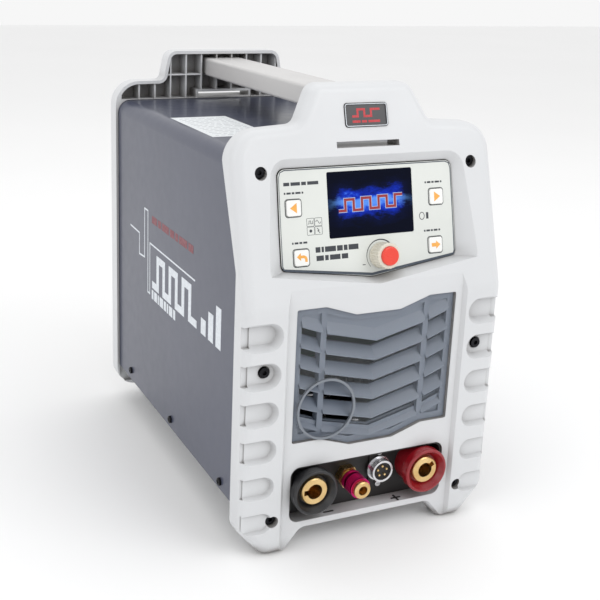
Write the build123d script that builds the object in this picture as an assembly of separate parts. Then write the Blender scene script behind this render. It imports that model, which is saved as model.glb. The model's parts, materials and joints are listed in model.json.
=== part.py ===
"""Portable TIG welding power source with a moulded front and rear bezel joined by a carrying bar.

The front looks towards -Y, +X is on the right seen from the front, and +Z is up.
The origin is the middle of the bounding box's bottom face. Lengths are in millimetres.
A depth is measured rearwards from the flat field of the lower front.
"""
from build123d import *
import math
import os

# ---------------------------------------------------------------- driving dimensions
WIDTH = 232.0                # over both bezels
HEIGHT = 371.0               # to the top of the humps
FRONT_REACH = 16.0           # gas coupler's tip, ahead of the front field
REAR_REACH = 378.0           # cable gland's dome, behind the front field
FIELD_Y = -(REAR_REACH - FRONT_REACH) / 2.0

PILLAR_PROUD = 3.0           # corner pillars stand ahead of the front field
NOSE_Z = 209.0               # crease between the upright and the leaning part of the front
UPPER_SLOPE = 0.30           # the upper front leans back by this much for each mm of height
UNDERSIDE_Z = 17.0           # bezels' underside between the feet
SHOULDER_Z = 340.0
FRONT_JOINT = 18.0           # depth of the joint between front bezel and cover
REAR_JOINT = 330.0
REAR_FACE = 354.0            # depth of the rear bezel's back
EDGE_ROUND = 9.0

PANEL_SLOPE = 0.224          # the control panel's own lean
PANEL_FOOT_Z = 233.5         # bottom corners of the control panel
PANEL_FOOT_DEPTH = 15.6
PANEL_HALF_WIDTH = 78.6
PANEL_FOOT_DROP = 10.4       # how far the middle of the V-shaped foot hangs down
PANEL_HEIGHT = 77.3
SCREEN_BOX = (-36.3, 40.2, 21.8, 73.2)
KEY_SIZE = 12.4
KEY_CENTRES = {
    "keycap_left": (-66.3, 47.5),
    "keycap_return": (-61.8, 9.0),
    "keycap_right": (62.3, 48.5),
    "keycap_execute": (59.7, 9.4),
}
KNOB_CENTRE = (8.3, 5.2)
BADGE_FOOT = 135.0           # badge's lower edge, measured up the slope from the nose
KNOB_RADIUS = 10.4
KNOB_HEIGHT = 13.5

COVER_HALF_WIDTH = 113.2
COVER_TOP_Z = 322.5
COVER_BOTTOM_Z = 40.0
COVER_BEND = 12.0
SHEET = 1.2
COVER_TUCK = 5.0             # how far the cover's edges run under the bezels

GRILLE_HALF_WIDTH = 71.6
GRILLE_BOTTOM_Z = 95.5
GRILLE_TOP_Z = 206.2
GRILLE_DIP = 9.0             # how far the middle of the grille's outline is lowered
GRILLE_FLAT = 20.0           # half width of the lowered middle
GRILLE_SHOULDER = 47.0
LOUVRE_PITCH = 16.8
LOUVRE_COUNT = 5
LOUVRE_RISE = 9.6            # how much higher a blade's inner edge is than its lip
LOUVRE_BACK = 11.2           # depth of the blades' inner edges
LIP_TOP_Z = 172.8            # lowest point of the top louvre's lip
RIB_X = 46.6
INNER_RISE = 0.245
OUTER_RISE = 0.38
RING_X = -43.2
RING_Z = 121.2
RING_RADIUS = 25.9

RECESS_HALF_WIDTH = 71.5
RECESS_BOTTOM_Z = 24.5
RECESS_TOP_Z = 73.3
RECESS_DEPTH = 14.5
OUTLET_Z = 52.4
SOCKET_X = 52.0
SOCKET_RADIUS = 19.6
SOCKET_BODY_RADIUS = 17.3
SOCKET_BORE = 6.5
COUPLER_X = -13.5
COUPLER_Z = 51.0
CONNECTOR_X = 17.0

RIB_PITCH = 16.6             # spacing of the upright plates in both humps

BADGE_HALF_WIDTH = 19.3
BADGE_HEIGHT = 19.0

BAR_HALF_WIDTH = 20.0
BAR_BOTTOM_Z = 345.0
BAR_TOP_Z = 363.0

SLOT_HALF_WIDTH = 28.0
SLOT_BOTTOM_Z = 323.4
SLOT_TOP_Z = 328.0

FAN_X = 0.0
FAN_Z = 210.0
FAN_SIZE = 120.0
REAR_PLATE_DEPTH = 341.5
GAP = 0.3

nodes = {}


# ---------------------------------------------------------------- placing helpers
def y_at(depth):
    return FIELD_Y + depth


def block(x0, x1, d0, d1, z0, z1):
    """Box between two X, two depths and two heights."""
    centre = Pos((x0 + x1) / 2, y_at((d0 + d1) / 2), (z0 + z1) / 2)
    return centre * Box(x1 - x0, d1 - d0, z1 - z0)


def rod(x, z, d0, d1, radius):
    """Cylinder along Y between two depths."""
    return Pos(x, y_at((d0 + d1) / 2), z) * Rot(90, 0, 0) * Cylinder(radius, d1 - d0)


def tube(x, z, d0, d1, outer, inner):
    return rod(x, z, d0, d1, outer) - rod(x, z, d0 - 1, d1 + 1, inner)


def post(x, depth, z0, z1, radius):
    """Upright cylinder."""
    return Pos(x, y_at(depth), (z0 + z1) / 2) * Cylinder(radius, z1 - z0)


def front_prism(face, d0, d1):
    """Flat face drawn as X and Z, extruded from depth d1 forwards to depth d0."""
    plane = Plane(origin=(0, y_at(d1), 0), x_dir=(1, 0, 0), z_dir=(0, -1, 0))
    return extrude(plane * face, amount=d1 - d0)


def side_prism(points, x0, x1):
    """Polygon of depths and heights, extruded along X."""
    plane = Plane(origin=(x0, 0, 0), x_dir=(0, 1, 0), z_dir=(1, 0, 0))
    corners = [(y_at(depth), z) for depth, z in points]
    return extrude(plane * make_face(Polyline(corners, close=True)), amount=x1 - x0)


def rounded_face(corners):
    """Face from (x, z, radius) corners."""
    points = [(x, z) for x, z, _ in corners]
    radii = [radius for _, _, radius in corners]
    return make_face(FilletPolyline(points, radius=radii, close=True))


def mirrored_face(right_half):
    """Symmetrical face from its right half, listed from the bottom to the top."""
    left_half = [(-x, z, radius) for x, z, radius in reversed(right_half)]
    return rounded_face(right_half + left_half)


def rounded_side_prism(corners, x0, x1):
    """Outline of (depth, z, radius) corners, extruded along X."""
    plane = Plane(origin=(x0, 0, 0), x_dir=(0, 1, 0), z_dir=(1, 0, 0))
    face = rounded_face([(y_at(depth), z, radius) for depth, z, radius in corners])
    return extrude(plane * face, amount=x1 - x0)


def rounded_rectangle(x0, x1, z0, z1, radius):
    corners = [(x1, z0, radius), (x1, z1, radius), (x0, z1, radius), (x0, z0, radius)]
    return rounded_face(corners)


def slope_plane(z, depth, slope):
    """Plane that leans back; its own Y runs up the slope and its normal points forwards."""
    angle = math.atan(slope)
    normal = (0, -math.cos(angle), math.sin(angle))
    return Plane(origin=(0, y_at(depth), z), x_dir=(1, 0, 0), z_dir=normal)


PANEL = slope_plane(PANEL_FOOT_Z, PANEL_FOOT_DEPTH, PANEL_SLOPE)
UPPER = slope_plane(NOSE_Z, -PILLAR_PROUD, UPPER_SLOPE)


def panel_prism(face, low, high):
    """Flat face drawn on the control panel, extruded between two heights above it."""
    return PANEL * (Pos(0, 0, low) * extrude(face, amount=high - low))


def upper_prism(face, low, high):
    """Flat face drawn on the upper front, extruded between two heights above it."""
    return UPPER * (Pos(0, 0, low) * extrude(face, amount=high - low))


def panel_block(x0, x1, s0, s1, low, high):
    centre = Pos((x0 + x1) / 2, (s0 + s1) / 2, (low + high) / 2)
    return PANEL * (centre * Box(x1 - x0, s1 - s0, high - low))


def panel_rod(x, s, low, high, radius):
    return PANEL * (Pos(x, s, (low + high) / 2) * Cylinder(radius, high - low))


def upper_depth(z):
    return -PILLAR_PROUD + UPPER_SLOPE * (z - NOSE_Z)


def save(name, *solids):
    """Keep solids as one named node."""
    nodes[name] = Compound(children=list(solids)) if len(solids) > 1 else solids[0]


# ---------------------------------------------------------------- outlines
def front_outline():
    """Front bezel seen from the front: feet, straight sides, shoulders and hump."""
    half = WIDTH / 2
    return mirrored_face([
        (60.0, UNDERSIDE_Z, 8),
        (74.0, 0.0, 5),
        (94.0, 0.0, 9),
        (half, 25.0, 12),
        (half, SHOULDER_Z - 2.5, 24),
        (60.0, SHOULDER_Z + 1.0, 9),
        (44.0, HEIGHT, 13),
    ])


def rear_outline():
    """Rear bezel seen from the front: no feet, and a wider hump."""
    half = WIDTH / 2
    return mirrored_face([
        (half, UNDERSIDE_Z, 20),
        (half, SHOULDER_Z + 1.0, 24),
        (66.0, SHOULDER_Z + 1.5, 6),
        (60.0, HEIGHT - 0.5, 10),
    ])


def cover_outline(grow):
    """Closed outline of the cover's outside, grown by a clearance."""
    half = COVER_HALF_WIDTH + grow
    return mirrored_face([
        (half, UNDERSIDE_Z + 4.0, 1),
        (half, COVER_TOP_Z + grow, COVER_BEND + grow),
    ])


def front_joint_profile(shift):
    """Rear edge of the front bezel from bottom to top, as depths and heights."""
    return [
        (FRONT_JOINT + shift, -1.0),
        (FRONT_JOINT + shift, 235.0),
        (50.0 + shift, 315.0),
        (50.0 + shift, SHOULDER_Z),
        (60.0 + shift, HEIGHT + 1.0),
    ]


def panel_outline(grow):
    """Control panel's outline in its own plane, with a V-shaped foot."""
    half = PANEL_HALF_WIDTH + grow
    low = -grow
    return mirrored_face([
        (1.5, low - PANEL_FOOT_DROP, 12),
        (half, low + 0.25, 5),
        (half, 30.0, 300),
        (half - 0.8, PANEL_HEIGHT + grow, 6),
    ])


def grille_outline(grow):
    """Grille outline: straight sides, and a top and bottom lowered in the middle."""
    half = GRILLE_HALF_WIDTH + grow
    low = GRILLE_BOTTOM_Z - grow
    high = GRILLE_TOP_Z + grow
    return mirrored_face([
        (GRILLE_FLAT, low - GRILLE_DIP, 6),
        (GRILLE_SHOULDER, low, 6),
        (half, low, 1.5),
        (half, high, 1.5),
        (GRILLE_SHOULDER, high, 6),
        (GRILLE_FLAT, high - GRILLE_DIP, 6),
    ])


# ---------------------------------------------------------------- bezels
SCREW_PLACES = [(94.0, 308.0), (97.0, 158.5), (87.5, 30.8)]


def scoop_tool(side, index):
    """D-shaped hollow with sloping walls that runs out through the side of a pillar."""
    depth = 7.0 - 0.8 * index
    centre_z = 188.3 - 31.4 * index
    floor_half = 7.2
    draft = 30.0
    rim_half = floor_half + depth * math.tan(math.radians(draft))
    inner = 84.0 + 0.9 * index
    face = rounded_face([
        (inner, centre_z - rim_half, rim_half * 0.98),
        (inner, centre_z + rim_half, rim_half * 0.98),
        (WIDTH / 2 + 20, centre_z + rim_half, 1),
        (WIDTH / 2 + 20, centre_z - rim_half, 1),
    ])
    plane = Plane(origin=(0, y_at(-PILLAR_PROUD), 0), x_dir=(1, 0, 0), z_dir=(0, -1, 0))
    hollow = extrude(plane * face, amount=-depth, taper=draft)
    ahead = extrude(plane * face, amount=12)
    tool = hollow + ahead
    return tool if side > 0 else mirror(tool, about=Plane.YZ)


def side_relief(side, index):
    """Lets a scoop run out through the side wall, which it also hollows a little."""
    depth = 7.0 - 0.8 * index
    centre_z = 188.3 - 31.4 * index
    x0 = WIDTH / 2 - 5.9 + 0.72 * index
    reach = depth - PILLAR_PROUD + 1.0
    part = block(x0, WIDTH / 2 + 5, -PILLAR_PROUD - 5, reach, centre_z - 8.5, centre_z + 8.5)
    return part if side > 0 else mirror(part, about=Plane.YZ)


def hump_cavity(outline_face, reach_profile, wall):
    """Hollow behind a hump and its shoulders, above the cover."""
    inner = offset(outline_face, amount=-wall)
    reach = side_prism(reach_profile, -WIDTH / 2 + 6, WIDTH / 2 - 6)
    return front_prism(inner, -30, 420) & reach


def hump_profile():
    """Side view of the front hump's hollow, open rearwards."""
    floor = COVER_TOP_Z + 1.0
    return [
        (upper_depth(floor) + 4.0, floor),
        (upper_depth(HEIGHT) + 4.0, HEIGHT),
        (90.0, HEIGHT),
        (90.0, floor),
    ]


def rib_plates(d0, d1, z0, z1):
    """Row of thin upright plates across a hump's hollow."""
    plates = []
    for index in range(-6, 6):
        x = (index + 0.5) * RIB_PITCH
        plates.append(block(x - 0.8, x + 0.8, d0, d1, z0, z1))
    return plates


def screw_seat(z):
    """Depth of the screw heads' seat behind a corner of the front."""
    return upper_depth(z) + 7.0 if z > NOSE_Z else 5.5


def front_field():
    """Space ahead of the field between the pillars, with sloping sides and a rounded top."""
    back = 3.0
    mouth = rounded_rectangle(-78.0 + back, 78.0 - back, -10.0, 245.0, 2)
    plane = Plane(origin=(0, y_at(back), 0), x_dir=(1, 0, 0), z_dir=(0, -1, 0))
    flared = extrude(plane * mouth, amount=back + PILLAR_PROUD + 1.0, taper=-45)
    crease = NOSE_Z + PILLAR_PROUD / UPPER_SLOPE
    profile = [
        (-20.0, -5.0, 1),
        (0.0, -5.0, 1),
        (0.0, crease, 45),
        (0.27 * (240.0 - crease), 240.0, 1),
        (-20.0, 240.0, 1),
    ]
    return flared & rounded_side_prism(profile, -90, 90)


def recess_face(shrink):
    """Mouth of the outlet recess."""
    half = RECESS_HALF_WIDTH - shrink
    return rounded_rectangle(-half, half, RECESS_BOTTOM_Z + shrink, RECESS_TOP_Z - shrink, 8 - shrink)


def recess_cutter():
    """Space ahead of the control panel, flared at the sides and top and steep at the foot."""
    base = panel_outline(0.5)
    edge = PANEL_HALF_WIDTH + 50.0
    limit = mirrored_face([
        (1.5, -PANEL_FOOT_DROP - 0.5, 12),
        (edge, -PANEL_FOOT_DROP - 0.5 + 0.138 * edge, 4),
        (edge, PANEL_HEIGHT + 60.0, 4),
    ])
    flared = extrude(base, amount=18.2, taper=-50)
    steep = extrude(limit, amount=18.2, taper=-20)
    return PANEL * (Pos(0, 0, -1.2) * (flared & steep))


def front_shell():
    """Outer form of the front bezel with its rounded front edges."""
    profile = [
        (-PILLAR_PROUD, -1.0),
        (-PILLAR_PROUD, NOSE_Z),
        (upper_depth(HEIGHT + 1.0), HEIGHT + 1.0),
    ] + list(reversed(front_joint_profile(0)))
    outer = front_prism(front_outline(), -20, 80) & side_prism(profile, -WIDTH, WIDTH)
    nose = outer.edges().filter_by(Axis.X).filter_by_position(Axis.Z, NOSE_Z - 1, NOSE_Z + 1)
    outer = fillet(nose.filter_by_position(Axis.Y, y_at(-4), y_at(-2)), 25)
    front_faces = [f for f in outer.faces() if f.normal_at(f.center()).Y < -0.9]
    rim = []
    for edge in outer.edges():
        touching = [f for f in front_faces if any(edge.is_same(other) for other in f.edges())]
        if len(touching) == 1:
            rim.append(edge)
    return fillet(rim, EDGE_ROUND)


def badge_face(shrink):
    """Outline of the badge's pocket, made smaller all round."""
    half = BADGE_HALF_WIDTH - shrink
    top = BADGE_FOOT + BADGE_HEIGHT - shrink
    return rounded_rectangle(-half, half, BADGE_FOOT + shrink, top, 2.6 - shrink)


def front_bezel():
    """Thick moulded front frame with its recesses, openings and hollow hump."""
    bezel = front_shell()
    bezel -= front_field()
    bezel -= recess_cutter()
    bezel -= panel_block(-84.0, 84.0, -14.0, 82.0, -60.0, -1.1)
    bezel -= front_prism(grille_outline(GAP), -8, 30)
    bezel -= front_prism(recess_face(0), -8, 30)
    bezel -= block(-77.5, 77.5, RECESS_DEPTH, 30, 20.2, 79.0)
    for side in (-1, 1):
        for index in range(6):
            bezel -= scoop_tool(side, index)
            bezel -= side_relief(side, index)
        for x, z in SCREW_PLACES:
            seat = screw_seat(z)
            bezel -= rod(side * x, z, seat - 20, seat, 5.0)
            bezel -= rod(side * x, z, seat, seat + 30, 2.2)
    tuck = side_prism(front_joint_profile(-COVER_TUCK - GAP) + [(90, HEIGHT + 1), (90, -1)], -WIDTH, WIDTH)
    groove = front_prism(cover_outline(GAP), -20, 90) - front_prism(cover_outline(-SHEET - GAP), -21, 91)
    bezel -= groove & tuck
    cavity = hump_cavity(front_outline(), hump_profile(), 3.2)
    for plate in rib_plates(20, 80, COVER_TOP_Z, HEIGHT):
        cavity -= plate
    cavity -= block(-SLOT_HALF_WIDTH - 2.5, SLOT_HALF_WIDTH + 2.5, 20, 80, COVER_TOP_Z, SLOT_TOP_Z + 2.5)
    cavity += block(-BAR_HALF_WIDTH, BAR_HALF_WIDTH, upper_depth(BAR_TOP_Z) + 4.0, 80, BAR_BOTTOM_Z, BAR_TOP_Z)
    bezel -= cavity
    bezel -= block(-SLOT_HALF_WIDTH, SLOT_HALF_WIDTH, 10, 80, SLOT_BOTTOM_Z, SLOT_TOP_Z)
    bezel -= upper_prism(badge_face(0.0), -1.6, 5.0)
    return bezel


# ---------------------------------------------------------------- rear bezel, cover and base
FOOT_X = 68.0
HANDLE_SCREW_X = (-11.0, 11.0)
HANDLE_SCREW_Z = 354.0
REAR_SCREWS = [(106.8, 306.0), (106.8, 170.0), (106.8, 44.0)]
COVER_SCREWS = [(46.0, 47.0), (168.0, 48.5), (289.0, 50.0)]


def rear_bezel():
    """Moulded rear frame: a deep rim, a window for the steel rear plate and a hollow hump."""
    outer = front_prism(rear_outline(), REAR_JOINT, REAR_FACE)
    back = outer.faces().sort_by(Axis.Y)[-1]
    outer = fillet(back.edges(), 7.5)
    outer -= block(-101, 101, REAR_JOINT - 5, REAR_PLATE_DEPTH + 1.5, 36, 317)
    outer -= front_prism(rounded_rectangle(-93, 93, 44, 309, 8), REAR_JOINT, REAR_FACE + 5)
    outer -= front_prism(cover_outline(GAP), REAR_JOINT - 5, REAR_JOINT + COVER_TUCK + GAP)
    floor = COVER_TOP_Z + 1.0
    reach = [
        (REAR_JOINT - 5, floor),
        (REAR_JOINT - 5, HEIGHT),
        (REAR_FACE - 4.0, HEIGHT),
        (REAR_FACE - 4.0, floor),
    ]
    cavity = hump_cavity(rear_outline(), reach, 3.2)
    for plate in rib_plates(REAR_JOINT + 1.5, REAR_FACE, floor - 1, HEIGHT):
        cavity -= plate
    cavity -= block(-BAR_HALF_WIDTH - 42, -BAR_HALF_WIDTH - 5, REAR_JOINT + 1.5, REAR_FACE, 346, 347.6)
    cavity -= block(BAR_HALF_WIDTH + 5, BAR_HALF_WIDTH + 42, REAR_JOINT + 1.5, REAR_FACE, 346, 347.6)
    slot_boss = block(-SLOT_HALF_WIDTH - 2.5, SLOT_HALF_WIDTH + 2.5, REAR_JOINT + 1.5, REAR_FACE, floor - 1, 331.5)
    cavity -= slot_boss
    cavity += block(-BAR_HALF_WIDTH, BAR_HALF_WIDTH, REAR_JOINT - 5, REAR_FACE - 4.0, BAR_BOTTOM_Z, BAR_TOP_Z)
    outer -= cavity
    outer -= block(-SLOT_HALF_WIDTH, SLOT_HALF_WIDTH, REAR_JOINT - 5, REAR_FACE + 5, 324.6, 329.0)
    for side in (-1, 1):
        for x, z in REAR_SCREWS:
            outer -= rod(side * x, z, REAR_FACE - 6, REAR_FACE + 5, 5.0)
            outer -= rod(side * x, z, REAR_JOINT + 6, REAR_FACE, 2.2)
    for x in HANDLE_SCREW_X:
        outer -= rod(x, HANDLE_SCREW_Z, REAR_FACE - 20, REAR_FACE + 1, 1.8)
    return outer


def cover_side_profile():
    """Side view of the cover, whose front edge follows the leaning front bezel."""
    front_edge = front_joint_profile(-COVER_TUCK)
    bottom = (FRONT_JOINT - COVER_TUCK, COVER_BOTTOM_Z)
    rear = REAR_JOINT + COVER_TUCK
    return [bottom] + front_edge[1:4] + [(rear, SHOULDER_Z), (rear, COVER_BOTTOM_Z)]


def cover():
    """Folded sheet that wraps the top and both sides."""
    inside = mirrored_face([
        (COVER_HALF_WIDTH - SHEET, UNDERSIDE_Z, 0.5),
        (COVER_HALF_WIDTH - SHEET, COVER_TOP_Z - SHEET, COVER_BEND - SHEET),
    ])
    shell = front_prism(cover_outline(0), 0, 360) - front_prism(inside, -5, 365)
    shell &= side_prism(cover_side_profile(), -WIDTH, WIDTH)
    for side in (-1, 1):
        for depth, z in COVER_SCREWS:
            hole = Pos(side * COVER_HALF_WIDTH, y_at(depth), z) * Rot(0, 90, 0) * Cylinder(1.7, 12)
            shell -= hole
    return shell


def base_tray():
    """Folded base with upright flanges that the cover is screwed to."""
    half = COVER_HALF_WIDTH - SHEET - 0.1
    tray = block(-half, half, 20, REAR_JOINT + 4.0, COVER_BOTTOM_Z + 0.5, 62)
    tray -= block(-half + 1.5, half - 1.5, 15, 345, COVER_BOTTOM_Z + 2.0, 70)
    tray -= block(-78, 78, 15, RECESS_DEPTH + 36.0, 30, 70)
    for side in (-1, 1):
        for depth, z in COVER_SCREWS:
            place = Pos(side * half, y_at(depth), z)
            tray -= place * Rot(0, 90, 0) * Cylinder(1.7, 12)
    for row in range(8):
        for column in range(-4, 5):
            slot = block(column * 14 - 4, column * 14 + 4, 96 + row * 22, 100 + row * 22, 30, 50)
            tray -= slot
    return tray


def cover_screws():
    """Pan-head screws low on both sides."""
    screws = []
    for side in (-1, 1):
        for depth, z in COVER_SCREWS:
            place = Pos(side * COVER_HALF_WIDTH, y_at(depth), z) * Rot(0, side * 90, 0)
            head = Pos(0, 0, 1.1) * Cylinder(3.4, 2.2)
            head = fillet(head.edges().sort_by(Axis.Z)[-1], 1.0)
            head -= Pos(0, 0, 2.2) * Box(4.4, 0.9, 1.6)
            head -= Pos(0, 0, 2.2) * Box(0.9, 4.4, 1.6)
            shank = Pos(0, 0, -3.0) * Cylinder(1.6, 6.0)
            screws.append(place * (head + shank))
    return screws


def socket_screw(x, z, seat, length, turn):
    """Black socket-head screw lying in its counterbore, its head towards the outside."""
    head = rod(x, z, seat - 4.0 * turn, seat, 4.2) if turn > 0 else rod(x, z, seat, seat + 4.0, 4.2)
    recess_end = seat - 5.0 if turn > 0 else seat + 2.0
    head -= rod(x, z, recess_end, recess_end + 3.0, 1.9)
    shank = rod(x, z, seat, seat + length, 2.0) if turn > 0 else rod(x, z, seat - length, seat, 2.0)
    return head + shank


def bezel_screws(places, front):
    screws = []
    for side in (-1, 1):
        for x, z in places:
            if front:
                screws.append(socket_screw(side * x, z, screw_seat(z), 9.0, 1))
            else:
                screws.append(socket_screw(side * x, z, REAR_FACE - 6, 7.0, -1))
    return screws


def rear_feet():
    """Two rubber feet under the rear bezel."""
    feet = []
    for side in (-1, 1):
        foot = post(side * FOOT_X, REAR_JOINT + 10, 0, UNDERSIDE_Z, 11.0)
        foot = chamfer(foot.edges().sort_by(Axis.Z)[0], 1.5)
        foot -= post(side * FOOT_X, REAR_JOINT + 10, -1, 6, 4.0)
        feet.append(foot)
    return feet


def handle_bar():
    """Rectangular carrying bar between the two humps."""
    d0 = upper_depth(BAR_TOP_Z) + 4.2
    bar = block(-BAR_HALF_WIDTH, BAR_HALF_WIDTH, d0, REAR_FACE - 4.2, BAR_BOTTOM_Z, BAR_TOP_Z)
    long_edges = bar.edges().filter_by(Axis.Y)
    bar = fillet(long_edges, 2.6)
    for x in HANDLE_SCREW_X:
        bar -= rod(x, HANDLE_SCREW_Z, REAR_FACE - 14, REAR_FACE, 1.7)
    return bar


def handle_screws():
    """Screws that hold the bar through the rear hump."""
    screws = []
    for x in HANDLE_SCREW_X:
        head = rod(x, HANDLE_SCREW_Z, REAR_FACE, REAR_FACE + 2.4, 4.0)
        head = fillet(head.edges().sort_by(Axis.Y)[-1], 1.2)
        head -= rod(x, HANDLE_SCREW_Z, REAR_FACE + 1.0, REAR_FACE + 4.0, 1.6)
        screws.append(head + rod(x, HANDLE_SCREW_Z, REAR_FACE - 12, REAR_FACE, 1.6))
    return screws


# ---------------------------------------------------------------- control panel
def screen_window(grow):
    x0, x1, s0, s1 = SCREEN_BOX
    return rounded_rectangle(x0 - grow, x1 + grow, s0 - grow, s1 + grow, 1.5)


def key_window(name, grow):
    x, s = KEY_CENTRES[name]
    half = KEY_SIZE / 2 + grow
    return rounded_rectangle(x - half, x + half, s - half, s + half, 2.0)


def panel_overlay():
    """Printed front sheet of the control panel."""
    sheet = panel_prism(panel_outline(0), -1.0, 0.0)
    sheet -= panel_prism(screen_window(0.2), -2, 1)
    for name in KEY_CENTRES:
        sheet -= panel_prism(key_window(name, 0.4), -2, 1)
    sheet -= panel_rod(*KNOB_CENTRE, -2, 1, 4.2)
    return sheet


def panel_carrier():
    """Plate behind the overlay that holds the screen, keys and knob."""
    plate = panel_prism(offset(panel_outline(0), amount=2.5), -3.6, -1.4)
    plate -= panel_prism(screen_window(1.2), -5, 1)
    for name in KEY_CENTRES:
        plate -= panel_prism(key_window(name, 0.4), -5, 1)
    plate -= panel_rod(*KNOB_CENTRE, -5, 1, 4.2)
    return plate


def lcd_screen():
    """Glass of the colour screen."""
    return panel_prism(screen_window(0), -2.0, -0.3)


def lcd_module():
    x0, x1, s0, s1 = SCREEN_BOX
    return panel_block(x0 - 0.5, x1 + 0.5, s0 - 0.5, s1 + 0.5, -6.5, -2.1)


def control_pcb():
    """Circuit board behind the control panel."""
    board = panel_block(-76.0, 76.0, -3.0, 75.0, -13.6, -12.0)
    board -= panel_rod(*KNOB_CENTRE, -15, -11, 4.2)
    return board


def keycap(name):
    """Square key with rounded edges and a stem."""
    x, s = KEY_CENTRES[name]
    cap = panel_prism(rounded_rectangle(
        x - KEY_SIZE / 2, x + KEY_SIZE / 2, s - KEY_SIZE / 2, s + KEY_SIZE / 2, 2.0), -3.0, 1.4)
    top = cap.faces().sort_by(Axis(PANEL.origin, PANEL.z_dir))[-1]
    cap = fillet(top.edges(), 0.6)
    return cap + panel_rod(x, s, -5.6, -2.9, 1.6)


def key_switches():
    """Tact switches on the circuit board, one under each key."""
    switches = []
    for x, s in KEY_CENTRES.values():
        base = panel_block(x - 3.0, x + 3.0, s - 3.0, s + 3.0, -11.9, -8.6)
        switches.append(base + panel_rod(x, s, -8.7, -7.1, 1.6))
    return switches


def encoder():
    """Rotary encoder's body behind the panel."""
    x, s = KNOB_CENTRE
    body = panel_block(x - 6.0, x + 6.0, s - 6.5, s + 6.5, -11.9, -5.0)
    bush = panel_rod(x, s, -5.2, -1.6, 3.9)
    return body + bush - panel_rod(x, s, -10.0, 1.0, 3.05)


def knob_body():
    """Fluted knob with its shaft, which runs in the encoder."""
    x, s = KNOB_CENTRE
    body = Cylinder(KNOB_RADIUS, KNOB_HEIGHT)
    body = chamfer(body.edges().sort_by(Axis.Z)[-1], 1.2)
    for index in range(24):
        angle = index * 15.0
        flute = Rot(0, 0, angle) * Pos(KNOB_RADIUS + 0.55, 0, 2.0) * Cylinder(1.1, KNOB_HEIGHT)
        body -= flute
    body -= Pos(0, 0, KNOB_HEIGHT / 2) * Cylinder(7.7, 2.4)
    place = Pos(x, s, 0.4 + KNOB_HEIGHT / 2)
    return PANEL * (place * body) + panel_rod(x, s, -9.5, 0.5, 3.0)


def knob_cap():
    """Domed cap set into the knob's face."""
    x, s = KNOB_CENTRE
    disc = Cylinder(7.6, 3.4)
    disc = fillet(disc.edges().sort_by(Axis.Z)[-1], 1.4)
    return PANEL * (Pos(x, s, 0.4 + KNOB_HEIGHT - 1.2 + 1.7) * disc)


def badge_plate():
    """Blank badge with a raised rim, set into the hump."""
    plate = upper_prism(badge_face(0.3), -1.5, 0.7)
    return plate - upper_prism(badge_face(1.5), 0.0, 2.0)


# ---------------------------------------------------------------- grille
def lip_height(index):
    return LIP_TOP_Z - LOUVRE_PITCH * index


def louvre_segments(inset):
    """Start X, end X, rise and start height of a louvre's four straight lengths."""
    inner = RIB_X - 2.5 - inset
    outer = RIB_X + 2.5 + inset
    end = GRILLE_HALF_WIDTH - 5.5 - inset
    edge_rise = INNER_RISE * RIB_X
    return [
        (-end, -outer, -OUTER_RISE, edge_rise + OUTER_RISE * (end - RIB_X)),
        (-inner, 0.3, -INNER_RISE, INNER_RISE * inner),
        (-0.3, inner, INNER_RISE, -0.3 * INNER_RISE),
        (outer, end, OUTER_RISE, edge_rise + OUTER_RISE * (outer - RIB_X)),
    ]


def sheared_bar(profile, x0, x1, rise, base_z):
    """Section of depths and heights swept from x0 to x1 while it climbs."""
    plane = Plane(origin=(x0, 0, 0), x_dir=(0, 1, 0), z_dir=(1, 0, 0))
    corners = [(y_at(depth), base_z + z) for depth, z in profile]
    section = plane * make_face(Polyline(corners, close=True))
    run = x1 - x0
    length = run * math.hypot(1.0, rise)
    return extrude(section, amount=length, dir=(1.0, 0.0, rise))


def louvre_grille():
    """Moulded air grille: a flanged plate, two ribs and rows of slanting blades."""
    flange = 3.2
    plate_front = 5.2
    plate_back = 7.8
    grille = front_prism(grille_outline(0), plate_front, plate_back)
    last = LOUVRE_PITCH * (LOUVRE_COUNT - 1)
    foot_drop = 16.2
    window = [
        (0.0, -last - foot_drop + 8.0),
        (0.0, LOUVRE_RISE - 1.0),
        (15.0, LOUVRE_RISE - 1.0),
        (15.0, -last - foot_drop + 8.0),
    ]
    blade = [
        (0.8, 0.0),
        (0.8, 0.9),
        (LOUVRE_BACK - 2.0, LOUVRE_RISE),
        (LOUVRE_BACK, LOUVRE_RISE),
        (2.8, 0.0),
    ]
    top_blade = [(0.8, 0.0), (0.8, 0.9), (plate_front + 0.1, LOUVRE_RISE), (plate_back, LOUVRE_RISE), (2.8, 0.0)]
    foot = [(1.8, 0.0), (1.8, 0.9), (LOUVRE_BACK - 2.0, 9.0), (LOUVRE_BACK, 9.0), (plate_back, 0.0)]
    for x0, x1, rise, start in louvre_segments(0.0):
        grille -= sheared_bar(window, x0, x1, rise, lip_height(0) + start)
    blades = []
    for x0, x1, rise, start in louvre_segments(-0.6):
        blades.append(sheared_bar(top_blade, x0, x1, rise, lip_height(0) + start))
        for index in range(1, LOUVRE_COUNT):
            blades.append(sheared_bar(blade, x0, x1, rise, lip_height(index) + start))
        blades.append(sheared_bar(foot, x0, x1, rise, lip_height(0) - last - foot_drop + start))
    rim = front_prism(grille_outline(0), flange, LOUVRE_BACK)
    rim -= front_prism(grille_outline(-5.5), flange - 1, LOUVRE_BACK + 1)
    grille += rim
    trim = front_prism(grille_outline(-2.0), -5, 20)
    for piece in blades:
        grille += piece & trim
    for side in (-1, 1):
        rib = block(side * RIB_X - 2.5, side * RIB_X + 2.5, flange, LOUVRE_BACK, 92.0, 203.5)
        grille += rib & trim
    return grille


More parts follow.
